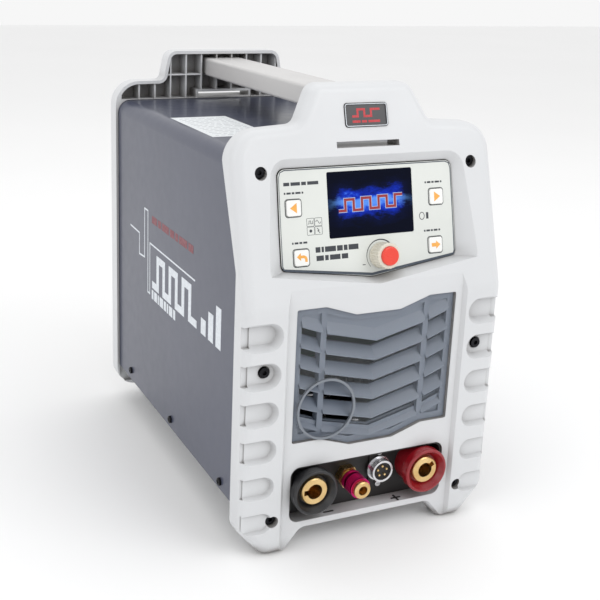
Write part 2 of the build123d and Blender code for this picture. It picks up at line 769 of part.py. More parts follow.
def grille_shield():
    """Clear sheet ahead of the louvres, with a round hole at its lower left."""
    sheet = front_prism(grille_outline(-0.6), -0.9, -0.1)
    return sheet - rod(RING_X, RING_Z, -5, 5, RING_RADIUS - 0.8)


def shield_ring():
    """Round trim that lines the hole in the clear sheet."""
    ring = tube(RING_X, RING_Z, -1.7, 0.4, RING_RADIUS, RING_RADIUS - 1.9)
    return ring - tube(RING_X, RING_Z, -1.0, 0.0, RING_RADIUS + 2, RING_RADIUS - 1.0)


# ---------------------------------------------------------------- outlets
def socket_panel():
    """Black liner of the outlet recess, with side walls and holes for the outlets."""
    plate = block(-77.0, 77.0, RECESS_DEPTH, RECESS_DEPTH + 3.0, 20.7, 78.5)
    plate -= rod(-SOCKET_X, OUTLET_Z, 0, 30, 13.5)
    plate -= rod(SOCKET_X, OUTLET_Z, 0, 30, 13.5)
    plate -= rod(COUPLER_X, COUPLER_Z, 0, 30, 6.2)
    plate -= rod(CONNECTOR_X, OUTLET_Z, 0, 30, 8.2)
    liner = front_prism(recess_face(GAP), 1.2, RECESS_DEPTH) - front_prism(recess_face(1.8), 0, RECESS_DEPTH)
    liner -= block(-60, 60, 0, RECESS_DEPTH, 20, 40)
    liner -= block(-90, 90, 0, RECESS_DEPTH, 20, 36)
    return plate + liner


def socket_housing(x):
    """Insulating body of a welding socket."""
    ring = rod(x, OUTLET_Z, -8.5, -0.8, SOCKET_RADIUS)
    body = fillet(ring.edges().sort_by(Axis.Y)[0], 1.6)
    body += rod(x, OUTLET_Z, -0.9, RECESS_DEPTH, SOCKET_BODY_RADIUS)
    body += rod(x, OUTLET_Z, RECESS_DEPTH - 0.5, RECESS_DEPTH + 20, 13.0)
    cone = Pos(x, y_at(-5.0), OUTLET_Z) * Rot(90, 0, 0) * Cone(12.6, 17.4, 7.2)
    body -= cone
    return body - rod(x, OUTLET_Z, -10, RECESS_DEPTH + 30, 11.7)


def socket_contact(x, turn):
    """Brass contact with a bore and a key slot."""
    contact = rod(x, OUTLET_Z, -5.7, RECESS_DEPTH + 32, 11.6)
    contact = chamfer(contact.edges().sort_by(Axis.Y)[0], 0.8)
    contact -= rod(x, OUTLET_Z, -10, 30, SOCKET_BORE)
    key = Pos(SOCKET_BORE, 0, 0) * Box(6.0, 4.4, 14.0)
    placed = Pos(x, y_at(-4.0), OUTLET_Z) * Rot(90, 0, 0) * Rot(0, 0, turn) * key
    return contact - placed


def hexagon_prism(x, z, d0, d1, across_flats):
    hexagon = RegularPolygon(across_flats / 2, 6, major_radius=False)
    return front_prism(Pos(x, z) * hexagon.face(), d0, d1)


def coupler_body():
    """Brass body of the gas quick coupler, with hexagon, stem and front nose."""
    x, z = COUPLER_X, COUPLER_Z
    body = hexagon_prism(x, z, 7.6, RECESS_DEPTH - 0.1, 17.0)
    body += rod(x, z, RECESS_DEPTH - 0.2, RECESS_DEPTH + 14, 6.0)
    body += rod(x, z, -13.0, 7.7, 6.6)
    nose = rod(x, z, -FRONT_REACH, -12.0, 7.4)
    body += chamfer(nose.edges().sort_by(Axis.Y)[0], 0.8)
    body += rod(x, z, RECESS_DEPTH + 13, RECESS_DEPTH + 26, 3.6)
    return body - rod(x, z, -20, RECESS_DEPTH + 40, 2.4) - rod(x, z, -20, -4.0, 4.0)


def coupler_sleeve():
    """Sprung release sleeve that slides back on the coupler."""
    x, z = COUPLER_X, COUPLER_Z
    sleeve = tube(x, z, -11.7, 4.4, 8.8, 6.65)
    for depth in (-9.6, -7.6, -5.6, -3.6, 0.6, 2.2):
        sleeve -= tube(x, z, depth, depth + 0.9, 9.5, 8.4)
    return sleeve


def connector_shell():
    """Threaded chrome shell and nut of the torch control connector."""
    x = CONNECTOR_X
    shell = tube(x, OUTLET_Z, 4.5, RECESS_DEPTH - 2.0, 9.7, 7.9)
    for depth in (5.6, 7.2, 8.8):
        shell -= tube(x, OUTLET_Z, depth, depth + 0.8, 11, 9.2)
    shell += tube(x, OUTLET_Z, 11.2, RECESS_DEPTH - 2.0, 11.0, 7.9)
    shell += tube(x, OUTLET_Z, RECESS_DEPTH - 2.1, RECESS_DEPTH + 12, 8.1, 7.0)
    return shell


def connector_flange():
    """Black mounting plate under the connector's nut."""
    flange = block(CONNECTOR_X - 8.6, CONNECTOR_X + 8.6, 12.7, RECESS_DEPTH - 0.1, 35.0, 69.8)
    flange = fillet(flange.edges().filter_by(Axis.Y), 2.5)
    flange -= rod(CONNECTOR_X, OUTLET_Z, 0, 30, 8.4)
    for side in (-1, 1):
        flange -= rod(CONNECTOR_X, OUTLET_Z + side * 14.5, 0, 30, 1.7)
    return flange


def connector_insert():
    """Black insulator inside the connector."""
    insert = rod(CONNECTOR_X, OUTLET_Z, 7.0, RECESS_DEPTH - 2.3, 7.8)
    insert += rod(CONNECTOR_X, OUTLET_Z, RECESS_DEPTH - 2.4, RECESS_DEPTH + 10, 6.9)
    for x, z in pin_places():
        insert -= rod(x, z, 0, 40, 0.95)
    return insert


def pin_places():
    places = []
    for index in range(5):
        angle = math.radians(90 + 72 * index)
        places.append((CONNECTOR_X + 4.3 * math.cos(angle), OUTLET_Z + 4.3 * math.sin(angle)))
    return places


def connector_pins():
    return [rod(x, z, 5.2, RECESS_DEPTH + 14, 0.9) for x, z in pin_places()]


def connector_screws():
    screws = []
    for side in (-1, 1):
        z = OUTLET_Z + side * 14.5
        head = rod(CONNECTOR_X, z, 10.8, 12.6, 2.7)
        head = fillet(head.edges().sort_by(Axis.Y)[0], 0.7)
        head -= block(CONNECTOR_X - 1.8, CONNECTOR_X + 1.8, 10, 11.7, z - 0.4, z + 0.4)
        screws.append(head + rod(CONNECTOR_X, z, 12.5, RECESS_DEPTH - 0.05, 1.5))
    return screws


def polarity_marks():
    """Raised minus and plus on the recess floor."""
    z0 = RECESS_BOTTOM_Z
    minus = block(-37.0, -28.0, 4.6, 6.0, z0, z0 + 0.5)
    plus = block(27.5, 36.5, 4.6, 6.0, z0, z0 + 0.5) + block(31.3, 32.7, 0.8, 9.8, z0, z0 + 0.5)
    return [minus, plus]


# ---------------------------------------------------------------- rear fittings
def rear_plate():
    """Steel plate that closes the rear, with cut-outs for its fittings."""
    plate = block(-100.5, 100.5, REAR_PLATE_DEPTH, REAR_PLATE_DEPTH + 1.3, 36.5, 316.5)
    plate -= rod(FAN_X, FAN_Z, 330, 360, FAN_SIZE / 2 - 3)
    for x, z in fan_corners():
        plate -= rod(x, z, 330, 360, 2.2)
    plate -= block(-78, -46, 330, 360, 96, 122)
    plate -= rod(62.0, 109.0, 330, 360, 9.2)
    plate -= rod(0.0, 82.0, 330, 360, 5.2)
    plate -= rod(-62.0, 66.0, 330, 360, 3.1)
    return plate


def fan_corners():
    reach = 52.5
    return [(FAN_X + i * reach, FAN_Z + j * reach) for i in (-1, 1) for j in (-1, 1)]


def fan_frame():
    """Square frame of the cooling fan with its hub held on three arms."""
    half = FAN_SIZE / 2
    front = REAR_PLATE_DEPTH - 25.4
    face = rounded_rectangle(FAN_X - half, FAN_X + half, FAN_Z - half, FAN_Z + half, 6)
    frame = front_prism(face, front, REAR_PLATE_DEPTH - 0.1)
    frame -= rod(FAN_X, FAN_Z, 300, 360, half - 2.5)
    for index in range(3):
        arm = block(FAN_X, FAN_X + half - 1.5, front, front + 3.0, FAN_Z - 2.5, FAN_Z + 2.5)
        centre = Axis((FAN_X, 0, FAN_Z), (0, 1, 0))
        frame += arm.rotate(centre, 90 + 120 * index)
    frame += rod(FAN_X, FAN_Z, front, front + 4.0, 19.0)
    frame += rod(FAN_X, FAN_Z, front + 3.9, front + 14.0, 1.5)
    for x, z in fan_corners():
        frame -= rod(x, z, 300, 360, 2.1)
    return frame


def fan_rotor():
    """Hub with seven pitched blades that spins on the frame's pin."""
    front = REAR_PLATE_DEPTH - 25.4
    hub = rod(FAN_X, FAN_Z, front + 5.0, front + 23.0, 19.0)
    hub -= rod(FAN_X, FAN_Z, front + 3.0, front + 15.0, 1.55)
    rotor = hub
    for index in range(7):
        blade = Pos(36.0, 0, 0) * Rot(38, 0, 0) * Box(37.0, 1.8, 23.0)
        turned = Rot(0, 360.0 / 7 * index, 0) * (Rot(90, 0, 0) * blade)
        rotor += Pos(FAN_X, y_at(front + 14.0), FAN_Z) * turned
    band = tube(FAN_X, FAN_Z, front + 4.5, front + 23.5, FAN_SIZE / 2 - 4.5, 5.0)
    return rotor & (band + rod(FAN_X, FAN_Z, front + 4.5, front + 23.5, 10) - rod(FAN_X, FAN_Z, 300, front + 15.0, 1.55))


def fan_guard():
    """Guard of wire rings and spokes over the fan."""
    d0 = REAR_PLATE_DEPTH + 5.0
    guard = None
    for radius in (12.0, 21.0, 30.0, 39.0, 48.0, 57.0):
        ring = Pos(FAN_X, y_at(d0), FAN_Z) * Rot(90, 0, 0) * Torus(radius, 1.0)
        guard = ring if guard is None else guard + ring
    for x, z in fan_corners():
        angle = math.degrees(math.atan2(z - FAN_Z, x - FAN_X))
        spoke = Pos(42.0, 0, 0) * Rot(0, 90, 0) * Cylinder(1.2, 64.0)
        turned = Rot(0, -angle, 0) * spoke
        guard += Pos(FAN_X, y_at(d0 - 0.6), FAN_Z) * turned
        guard += rod(x, z, REAR_PLATE_DEPTH + 1.4, d0 + 0.7, 4.2)
    for x, z in fan_corners():
        guard -= rod(x, z, REAR_PLATE_DEPTH, d0 + 5, 2.2)
    return guard


def fan_screws():
    screws = []
    for x, z in fan_corners():
        head = rod(x, z, REAR_PLATE_DEPTH + 5.8, REAR_PLATE_DEPTH + 8.0, 4.0)
        head = fillet(head.edges().sort_by(Axis.Y)[-1], 1.0)
        head -= block(x - 2.4, x + 2.4, REAR_PLATE_DEPTH + 7.0, REAR_PLATE_DEPTH + 9, z - 0.5, z + 0.5)
        screws.append(head + rod(x, z, REAR_PLATE_DEPTH - 24, REAR_PLATE_DEPTH + 5.9, 2.0))
    return screws


SWITCH_X = -62.0
SWITCH_Z = 109.0
ROCKER_PIVOT = -1.0          # pivot's depth behind the rear plate's inner face


def power_switch_body():
    """Frame of the mains rocker switch."""
    x, z = SWITCH_X, SWITCH_Z
    d0 = REAR_PLATE_DEPTH
    frame = block(x - 18.5, x + 18.5, d0 + 1.4, d0 + 4.4, z - 15.5, z + 15.5)
    frame = fillet(frame.edges().filter_by(Axis.Y), 3.0)
    frame += block(x - 15.5, x + 15.5, d0 - 26, d0 + 1.5, z - 12.5, z + 12.5)
    frame -= block(x - 13.0, x + 13.0, d0 - 12, d0 + 6, z - 10.5, z + 10.5)
    return frame - rocker_pin(1.25, 28.4)


def rocker_pin(radius, length):
    """Pivot of the rocker, a pin along X."""
    place = Pos(SWITCH_X, y_at(REAR_PLATE_DEPTH + ROCKER_PIVOT), SWITCH_Z)
    return place * Rot(0, 90, 0) * Cylinder(radius, length)


def power_switch_rocker():
    """Rocker that tips about a sideways axis."""
    x, z = SWITCH_X, SWITCH_Z
    d0 = REAR_PLATE_DEPTH
    profile = [
        (d0 - 5.0, z - 6.0),
        (d0 - 5.0, z + 6.0),
        (d0 + 0.5, z + 8.6),
        (d0 + 7.4, z + 7.6),
        (d0 + 3.6, z),
        (d0 + 4.6, z - 7.4),
        (d0 + 0.5, z - 8.6),
    ]
    return side_prism(profile, x - 12.6, x + 12.6) + rocker_pin(1.2, 27.8)


def cable_gland():
    """Gland for the mains lead, with its dome nut and a through bore."""
    x, z = 62.0, 109.0
    d0 = REAR_PLATE_DEPTH + 1.4
    gland = rod(x, z, d0 - 10, d0, 9.0)
    gland += hexagon_prism(x, z, d0, d0 + 7.0, 24.0)
    dome = rod(x, z, d0 + 6.9, REAR_REACH, 10.6)
    gland += fillet(dome.edges().sort_by(Axis.Y)[-1], 4.0)
    return gland - rod(x, z, 320, 390, 5.2)


def gland_nut():
    x, z = 62.0, 109.0
    nut = hexagon_prism(x, z, REAR_PLATE_DEPTH - 6.5, REAR_PLATE_DEPTH - 0.1, 24.0)
    return nut - rod(x, z, 320, 360, 9.05)


def gas_inlet():
    """Barbed brass inlet for the shielding gas hose."""
    x, z = 0.0, 82.0
    d0 = REAR_PLATE_DEPTH + 1.4
    inlet = hexagon_prism(x, z, d0, d0 + 6.0, 14.0)
    inlet += rod(x, z, d0 - 14, d0 + 0.1, 5.0)
    inlet += rod(x, z, d0 + 5.9, d0 + 26, 3.4)
    for step in (12.0, 17.0, 22.0):
        inlet += Pos(x, y_at(d0 + step), z) * Rot(90, 0, 0) * Cone(3.4, 4.4, 3.6)
    return inlet - rod(x, z, 320, 380, 2.2)


def earth_stud():
    """Brass earthing stud with two nuts."""
    x, z = -62.0, 66.0
    d0 = REAR_PLATE_DEPTH + 1.4
    stud = rod(x, z, d0 - 12, d0 + 14, 3.0)
    stud += hexagon_prism(x, z, d0, d0 + 4.0, 10.0)
    stud += hexagon_prism(x, z, d0 + 6.0, d0 + 10.0, 10.0)
    return stud + rod(x, z, d0 + 3.9, d0 + 6.1, 5.6)


# ---------------------------------------------------------------- inside
FLOOR_Z = COVER_BOTTOM_Z + 2.0


def heatsink(x0, x1, d0, d1, z0, z1):
    """Aluminium block with fins that hang down from its base."""
    sink = block(x0, x1, d0, d1, z1 - 8.0, z1)
    count = int((x1 - x0) // 8)
    pitch = (x1 - x0 - 2.0) / count
    for index in range(count + 1):
        x = x0 + index * pitch
        sink += block(x, x + 2.0, d0, d1, z0, z1 - 7.9)
    return sink


def heatsinks():
    return [
        heatsink(-88.0, -12.0, 110, 250, 74.0, 112.0),
        heatsink(12.0, 88.0, 110, 250, 74.0, 112.0),
    ]


def power_transistors():
    """Flat power modules between the heatsinks and the main board."""
    modules = []
    for x in (-68.0, -32.0, 32.0, 68.0):
        for depth in (140.0, 190.0):
            modules.append(block(x - 12, x + 12, depth - 10, depth + 10, 112.1, 118.0))
    return modules


def main_pcb():
    board = block(-96.0, 96.0, 92, 268, 126.0, 127.6)
    for x in (-90.0, 90.0):
        for depth in (98.0, 262.0):
            board -= post(x, depth, 120, 130, 2.0)
    return board


def board_posts():
    """Posts that carry the main board at its corners and the heatsinks at their ends."""
    posts = []
    for x in (-90.0, 90.0):
        for depth in (98.0, 262.0):
            lower = post(x, depth, FLOOR_Z, 126.0, 3.0)
            posts.append(lower + post(x, depth, 125.9, 129.6, 1.8))
    for x in (-80.0, -20.0, 20.0, 80.0):
        for depth in (120.0, 240.0):
            posts.append(post(x, depth, FLOOR_Z, 74.0, 4.0))
    return posts


def capacitors():
    """Round electrolytic capacitors standing on the main board."""
    cans = []
    for x in (-75.0, -45.0):
        for depth in (120.0, 152.0, 184.0):
            can = post(x, depth, 127.7, 178.0, 12.5)
            cans.append(fillet(can.edges().sort_by(Axis.Z)[-1], 1.5))
    return cans


def transformer_core():
    """Double-window ferrite core standing across the board."""
    core = block(22.0, 82.0, 128, 158, 127.7, 187.7)
    core -= block(32.0, 45.0, 120, 165, 139.7, 175.7)
    return core - block(59.0, 72.0, 120, 165, 139.7, 175.7)


def transformer_winding():
    winding = block(34.0, 70.0, 119, 167, 142.0, 173.4)
    return winding - block(44.7, 59.3, 127.5, 158.5, 130, 180)


def output_choke():
    """Toroid choke lying on the board."""
    ring = Pos(50.0, y_at(205), 146.0) * Torus(20.0, 9.5)
    return ring - block(0, 100, 160, 250, 120, 137.5) + tube_post(50.0, 205, 127.7, 138.0, 24.0, 16.0)


def tube_post(x, depth, z0, z1, outer, inner):
    return post(x, depth, z0, z1, outer) - post(x, depth, z0 - 1, z1 + 1, inner)


def gas_valve():
    """Solenoid valve for the shielding gas."""
    valve = block(-14.0, 14.0, 290, 322, FLOOR_Z, 62.0)
    valve += post(0.0, 306, 61.9, 94.0, 10.5)
    valve += rod(0.0, 52.0, 284, 291, 3.2)
    return valve + post(0.0, 306, 93.9, 97.0, 5.5)


def gas_hose():
    """Hose from the valve forwards to the outlet coupler."""
    start = (0.0, y_at(284), 52.0)
    end = (COUPLER_X, y_at(RECESS_DEPTH + 26.0), COUPLER_Z)
    route = [start, (0.0, y_at(262), 52.0), (-4.0, y_at(200), 52.0), (-9.0, y_at(120), 51.5),
             (COUPLER_X, y_at(70), COUPLER_Z), end]
    radii = [80.0, 80.0, 80.0, 80.0]
    path = FilletPolyline(route, radius=radii)
    ring = Circle(4.0) - Circle(2.5)
    section = Plane(origin=start, z_dir=path % 0) * ring
    return sweep(section, path=path)


def rating_label():
    """Blank printed label on the cover's top."""
    return block(-101.0, -48.0, 107, 210, COVER_TOP_Z, COVER_TOP_Z + 0.15)


# ---------------------------------------------------------------- the whole machine
def build_nodes():
    save("front_bezel", front_bezel())
    save("rear_bezel", rear_bezel())
    save("cover", cover())
    save("base_tray", base_tray())
    save("cover_screws", *cover_screws())
    save("front_bezel_screws", *bezel_screws(SCREW_PLACES, True))
    save("rear_bezel_screws", *bezel_screws(REAR_SCREWS, False))
    save("rear_feet", *rear_feet())
    save("handle_bar", handle_bar())
    save("handle_screws", *handle_screws())
    save("rating_label", rating_label())
    save("badge_plate", badge_plate())
    save("panel_overlay", panel_overlay())
    save("panel_carrier", panel_carrier())
    save("lcd_screen", lcd_screen())
    save("lcd_module", lcd_module())
    save("control_pcb", control_pcb())
    for name in KEY_CENTRES:
        save(name, keycap(name))
    save("key_switches", *key_switches())
    save("encoder", encoder())
    save("knob_body", knob_body())
    save("knob_cap", knob_cap())
    save("louvre_grille", louvre_grille())
    save("grille_shield", grille_shield())
    save("shield_ring", shield_ring())
    save("socket_panel", socket_panel())
    save("negative_socket_housing", socket_housing(-SOCKET_X))
    save("negative_socket_contact", socket_contact(-SOCKET_X, 180))
    save("positive_socket_housing", socket_housing(SOCKET_X))
    save("positive_socket_contact", socket_contact(SOCKET_X, 35))
    save("gas_coupler_body", coupler_body())
    save("gas_coupler_sleeve", coupler_sleeve())
    save("control_connector_shell", connector_shell())
    save("control_connector_insert", connector_insert(), connector_flange())
    save("control_connector_pins", *connector_pins())
    save("control_connector_screws", *connector_screws())
    save("polarity_marks", *polarity_marks())
    save("rear_plate", rear_plate())
    save("fan_frame", fan_frame())
    save("fan_rotor", fan_rotor())
    save("fan_guard", fan_guard())
    save("fan_screws", *fan_screws())
    save("power_switch_body", power_switch_body())
    save("power_switch_rocker", power_switch_rocker())
    save("cable_gland", cable_gland(), gland_nut())
    save("gas_inlet", gas_inlet())
    save("earth_stud", earth_stud())
    save("heatsinks", *heatsinks())
    save("power_transistors", *power_transistors())
    save("main_pcb", main_pcb())
    save("board_posts", *board_posts())
    save("capacitors", *capacitors())
    save("transformer_core", transformer_core())
    save("transformer_winding", transformer_winding())
    save("output_choke", output_choke())
    save("gas_valve", gas_valve())
    save("gas_hose", gas_hose())


def write_parts():
    os.makedirs("parts", exist_ok=True)
    for name, shape in nodes.items():
        export_step(shape, "parts/" + name + ".step")


build_nodes()
write_parts()
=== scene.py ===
import json
import math

import bmesh
import bpy
from mathutils import Matrix, Vector


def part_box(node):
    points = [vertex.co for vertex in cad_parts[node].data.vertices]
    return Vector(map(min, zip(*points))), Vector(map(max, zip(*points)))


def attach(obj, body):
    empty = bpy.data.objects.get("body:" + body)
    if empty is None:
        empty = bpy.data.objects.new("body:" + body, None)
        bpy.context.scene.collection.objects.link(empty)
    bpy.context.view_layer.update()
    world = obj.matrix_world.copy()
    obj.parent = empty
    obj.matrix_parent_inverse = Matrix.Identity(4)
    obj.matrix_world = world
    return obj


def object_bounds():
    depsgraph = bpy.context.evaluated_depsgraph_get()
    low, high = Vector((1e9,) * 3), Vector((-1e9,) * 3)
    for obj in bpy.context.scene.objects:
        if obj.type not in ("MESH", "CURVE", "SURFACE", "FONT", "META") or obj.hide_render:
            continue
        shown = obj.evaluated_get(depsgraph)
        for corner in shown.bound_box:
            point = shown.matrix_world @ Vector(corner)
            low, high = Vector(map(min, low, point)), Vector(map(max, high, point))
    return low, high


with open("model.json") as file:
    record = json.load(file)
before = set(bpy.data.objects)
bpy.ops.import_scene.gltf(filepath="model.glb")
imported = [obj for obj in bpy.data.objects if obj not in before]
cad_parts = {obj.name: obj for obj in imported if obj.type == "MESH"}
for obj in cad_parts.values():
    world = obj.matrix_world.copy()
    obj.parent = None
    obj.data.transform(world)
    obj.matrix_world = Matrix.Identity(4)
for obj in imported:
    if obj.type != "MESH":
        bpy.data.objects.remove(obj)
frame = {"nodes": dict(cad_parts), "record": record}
CAD_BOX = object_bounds()
MM = 0.001

# ------------------------------------------------------------ places taken from the CAD frame
FIELD_Y = -0.181                       # the front bezel's foremost flat face
PANEL_ORIGIN = Vector((0.0, FIELD_Y + 0.0156, 0.2335))
PANEL_LEAN = math.atan(0.224)
PANEL_UP = Vector((0.0, math.sin(PANEL_LEAN), math.cos(PANEL_LEAN)))
NOSE_ORIGIN = Vector((0.0, FIELD_Y - 0.003, 0.209))  # crease where the upper front starts to lean back
UPPER_LEAN = math.atan(0.30)
UPPER_UP = Vector((0.0, math.sin(UPPER_LEAN), math.cos(UPPER_LEAN)))
BADGE_CLIMB = 0.1445                   # from the crease up the slope to the badge's middle
RIGHT = Vector((1.0, 0.0, 0.0))
UP = Vector((0.0, 0.0, 1.0))


# ------------------------------------------------------------ node materials
class Surface:
    """One procedural material, built node by node round a Principled shader."""

    def __init__(self, name):
        self.material = bpy.data.materials.new(name)
        self.material.use_nodes = True
        self.tree = self.material.node_tree
        self.tree.nodes.clear()
        self.shader = self.node("ShaderNodeBsdfPrincipled")
        output = self.node("ShaderNodeOutputMaterial")
        self.link(self.shader.outputs[0], output.inputs["Surface"])
        self.place = self.node("ShaderNodeTexCoord").outputs["Object"]

    def node(self, kind, **settings):
        made = self.tree.nodes.new(kind)
        for key, value in settings.items():
            setattr(made, key, value)
        return made

    def link(self, source, target):
        self.tree.links.new(source, target)

    def feed(self, socket, value):
        if isinstance(value, bpy.types.NodeSocket):
            self.link(value, socket)
        else:
            socket.default_value = value

    def stretched(self, scale):
        mapping = self.node("ShaderNodeMapping")
        self.link(self.place, mapping.inputs["Vector"])
        mapping.inputs["Scale"].default_value = scale
        return mapping.outputs["Vector"]

    def noise(self, scale, detail=3.0, roughness=0.55, place=None):
        made = self.node("ShaderNodeTexNoise")
        self.link(place or self.place, made.inputs["Vector"])
        made.inputs["Scale"].default_value = scale
        made.inputs["Detail"].default_value = detail
        made.inputs["Roughness"].default_value = roughness
        return made.outputs["Fac"]

    def cells(self, scale, place=None):
        made = self.node("ShaderNodeTexVoronoi", feature="F1")
        self.link(place or self.place, made.inputs["Vector"])
        made.inputs["Scale"].default_value = scale
        return made.outputs["Distance"]

    def axis(self, index):
        split = self.node("ShaderNodeSeparateXYZ")
        self.link(self.place, split.inputs[0])
        return split.outputs[index]

    def maths(self, operation, first, second=0.0, clamp=False):
        made = self.node("ShaderNodeMath", operation=operation, use_clamp=clamp)
        self.feed(made.inputs[0], first)
        self.feed(made.inputs[1], second)
        return made.outputs[0]

    def spread(self, value, low, high, out_low, out_high, smooth=False):
        made = self.node("ShaderNodeMapRange", clamp=True)
        if smooth:
            made.interpolation_type = "SMOOTHSTEP"
        self.feed(made.inputs["Value"], value)
        self.feed(made.inputs["From Min"], low)
        self.feed(made.inputs["From Max"], high)
        self.feed(made.inputs["To Min"], out_low)
        self.feed(made.inputs["To Max"], out_high)
        return made.outputs["Result"]

    def ramp(self, value, stops):
        made = self.node("ShaderNodeValToRGB")
        elements = made.color_ramp.elements
        while len(elements) < len(stops):
            elements.new(0.5)
        for element, (position, colour) in zip(elements, stops):
            element.position = position
            element.color = (*colour, 1.0)
        self.feed(made.inputs["Fac"], value)
        return made.outputs["Color"]

    def mix(self, amount, first, second):
        made = self.node("ShaderNodeMix", data_type="RGBA")
        self.feed(made.inputs[0], amount)
        self.feed(made.inputs[6], first if isinstance(first, bpy.types.NodeSocket) else (*first, 1.0))
        self.feed(made.inputs[7], second if isinstance(second, bpy.types.NodeSocket) else (*second, 1.0))
        return made.outputs[2]

    def edges(self, radius, gain):
        """1 along convex edges and creases within the radius, 0 on flat areas."""
        rounded = self.node("ShaderNodeBevel", samples=4)
        rounded.inputs["Radius"].default_value = radius
        geometry = self.node("ShaderNodeNewGeometry")
        product = self.node("ShaderNodeVectorMath", operation="DOT_PRODUCT")
        self.link(rounded.outputs[0], product.inputs[0])
        self.link(geometry.outputs["Normal"], product.inputs[1])
        bend = self.maths("SUBTRACT", 1.0, product.outputs["Value"])
        return self.maths("MULTIPLY", bend, gain, clamp=True)

    def crevices(self, reach, darkest):
        """1 in the open, falling to the given value deep inside narrow hollows."""
        open_sky = self.node("ShaderNodeAmbientOcclusion", samples=8)
        open_sky.inputs["Distance"].default_value = reach
        return self.spread(open_sky.outputs["AO"], 0.15, 0.95, darkest, 1.0)

    def finish_normal(self, height, strength, distance, round_edges=0.0):
        made = self.node("ShaderNodeBump")
        made.inputs["Strength"].default_value = strength
        made.inputs["Distance"].default_value = distance
        self.link(height, made.inputs["Height"])
        if round_edges > 0:
            rounded = self.node("ShaderNodeBevel", samples=4)
            rounded.inputs["Radius"].default_value = round_edges
            self.link(rounded.outputs[0], made.inputs["Normal"])
        self.link(made.outputs[0], self.shader.inputs["Normal"])

    def set(self, **values):
        for key, value in values.items():
            self.feed(self.shader.inputs[key.replace("_", " ")], value)


def shade(colour, factor):
    return tuple(min(1.0, part * factor) for part in colour)


def moulded(name, colour, roughness, grain, grain_strength, edge_colour=None, rounding=0.4,
            mottle=0.06, coat=0.0, hollow_shade_colour=None):
    """Moulded plastic: faint clouds of colour, fine grain, edges lighter from scuffs and from a painted
    highlight, and optional painted shade in deep hollows.
    """
    surface = Surface(name)
    cloud = surface.noise(9.0, 4.0)
    speck = surface.noise(grain, 2.0)
    body = surface.mix(surface.spread(cloud, 0.3, 0.7, 0.0, 1.0), shade(colour, 1 - mottle),
                       shade(colour, 1 + mottle))
    # painted highlight: edges and creases lighter, broken up by noise into scuffs, so partly real wear
    scuff_and_edge_highlight = surface.maths("MULTIPLY", surface.edges(0.9 * MM, 2.6),
                         surface.spread(surface.noise(120.0), 0.42, 0.62, 0.15, 0.8))
    body = surface.mix(scuff_and_edge_highlight, body, edge_colour or shade(colour, 1.25))
    # painted shade: the ambient occlusion mask darkens deep hollows towards the given brownish colour
    if hollow_shade_colour:
        body = surface.mix(surface.crevices(14.0 * MM, 0.0), hollow_shade_colour, body)
    surface.set(Base_Color=body)
    gloss = surface.spread(surface.noise(34.0, 5.0), 0.3, 0.7, roughness - 0.06, roughness + 0.08)
    surface.set(Roughness=surface.maths("ADD", gloss, surface.maths("MULTIPLY", scuff_and_edge_highlight, 0.12)))
    surface.set(Coat_Weight=coat, Coat_Roughness=0.12)
    height = surface.maths("ADD", speck, surface.maths("MULTIPLY", cloud, 1.4))
    surface.finish_normal(height, grain_strength, 0.1 * MM, rounding * MM)
    return surface.material


def powder_coat(name, colour, roughness):
    """Fine orange-peel paint with a slow change of tone, and corners lighter from scuffs and from a painted
    highlight.
    """
    surface = Surface(name)
    peel = surface.noise(900.0, 2.0, 0.5)
    cloud = surface.noise(5.0, 3.0)
    body = surface.mix(surface.spread(cloud, 0.3, 0.7, 0.0, 1.0), shade(colour, 0.95), shade(colour, 1.06))
    flecks = surface.spread(surface.cells(1500.0), 0.05, 0.2, 1.0, 0.0)
    body = surface.mix(surface.maths("MULTIPLY", flecks, 0.12), body, shade(colour, 1.8))
    # painted highlight: corners lighter, broken up by noise into scuffs, so partly real wear
    scuff_and_edge_highlight = surface.maths("MULTIPLY", surface.edges(0.8 * MM, 2.4),
                         surface.spread(surface.noise(150.0), 0.5, 0.62, 0.0, 0.7))
    surface.set(Base_Color=surface.mix(scuff_and_edge_highlight, body, (0.42, 0.43, 0.45)))
    surface.set(Roughness=surface.spread(surface.noise(90.0, 4.0), 0.3, 0.7, roughness - 0.02,
        roughness + 0.03))
    surface.set(Specular_IOR_Level=0.35, Coat_Weight=0.15, Coat_Roughness=0.06)
    surface.finish_normal(peel, 0.16, 0.08 * MM, 0.5 * MM)
    return surface.material


def metal(name, colour, roughness, scratch=(60.0, 60.0, 900.0), dark=0.75, strength=0.2, tarnish=None):
    """Machined or drawn metal: directional scratches, tarnish clouds and a painted highlight along the
    edges.
    """
    surface = Surface(name)
    lines = surface.noise(12.0, 5.0, 0.65, surface.stretched(scratch))
    cloud = surface.noise(60.0, 4.0)
    body = surface.mix(surface.spread(cloud, 0.35, 0.7, 0.0, 1.0), colour, tarnish or shade(colour, dark))
    body = surface.mix(surface.spread(lines, 0.4, 0.7, 0.0, 0.35), body, shade(colour, dark))
    # painted highlight: edges and creases lighter
    body = surface.mix(surface.edges(0.3 * MM, 2.0), body, shade(colour, 1.2))
    surface.set(Base_Color=body, Metallic=1.0)
    surface.set(Roughness=surface.spread(lines, 0.3, 0.7, roughness - 0.06, roughness + 0.14))
    surface.finish_normal(lines, strength, 0.05 * MM, 0.15 * MM)
    return surface.material


def soft_rubber(name, colour):
    surface = Surface(name)
    grain = surface.noise(1400.0, 3.0, 0.6)
    dust = surface.spread(surface.noise(26.0, 5.0), 0.45, 0.75, 0.0, 0.5)
    surface.set(Base_Color=surface.mix(dust, colour, shade(colour, 2.4)))
    surface.set(Roughness=surface.spread(grain, 0.3, 0.7, 0.62, 0.85))
    surface.finish_normal(grain, 0.4, 0.1 * MM, 0.3 * MM)
    return surface.material


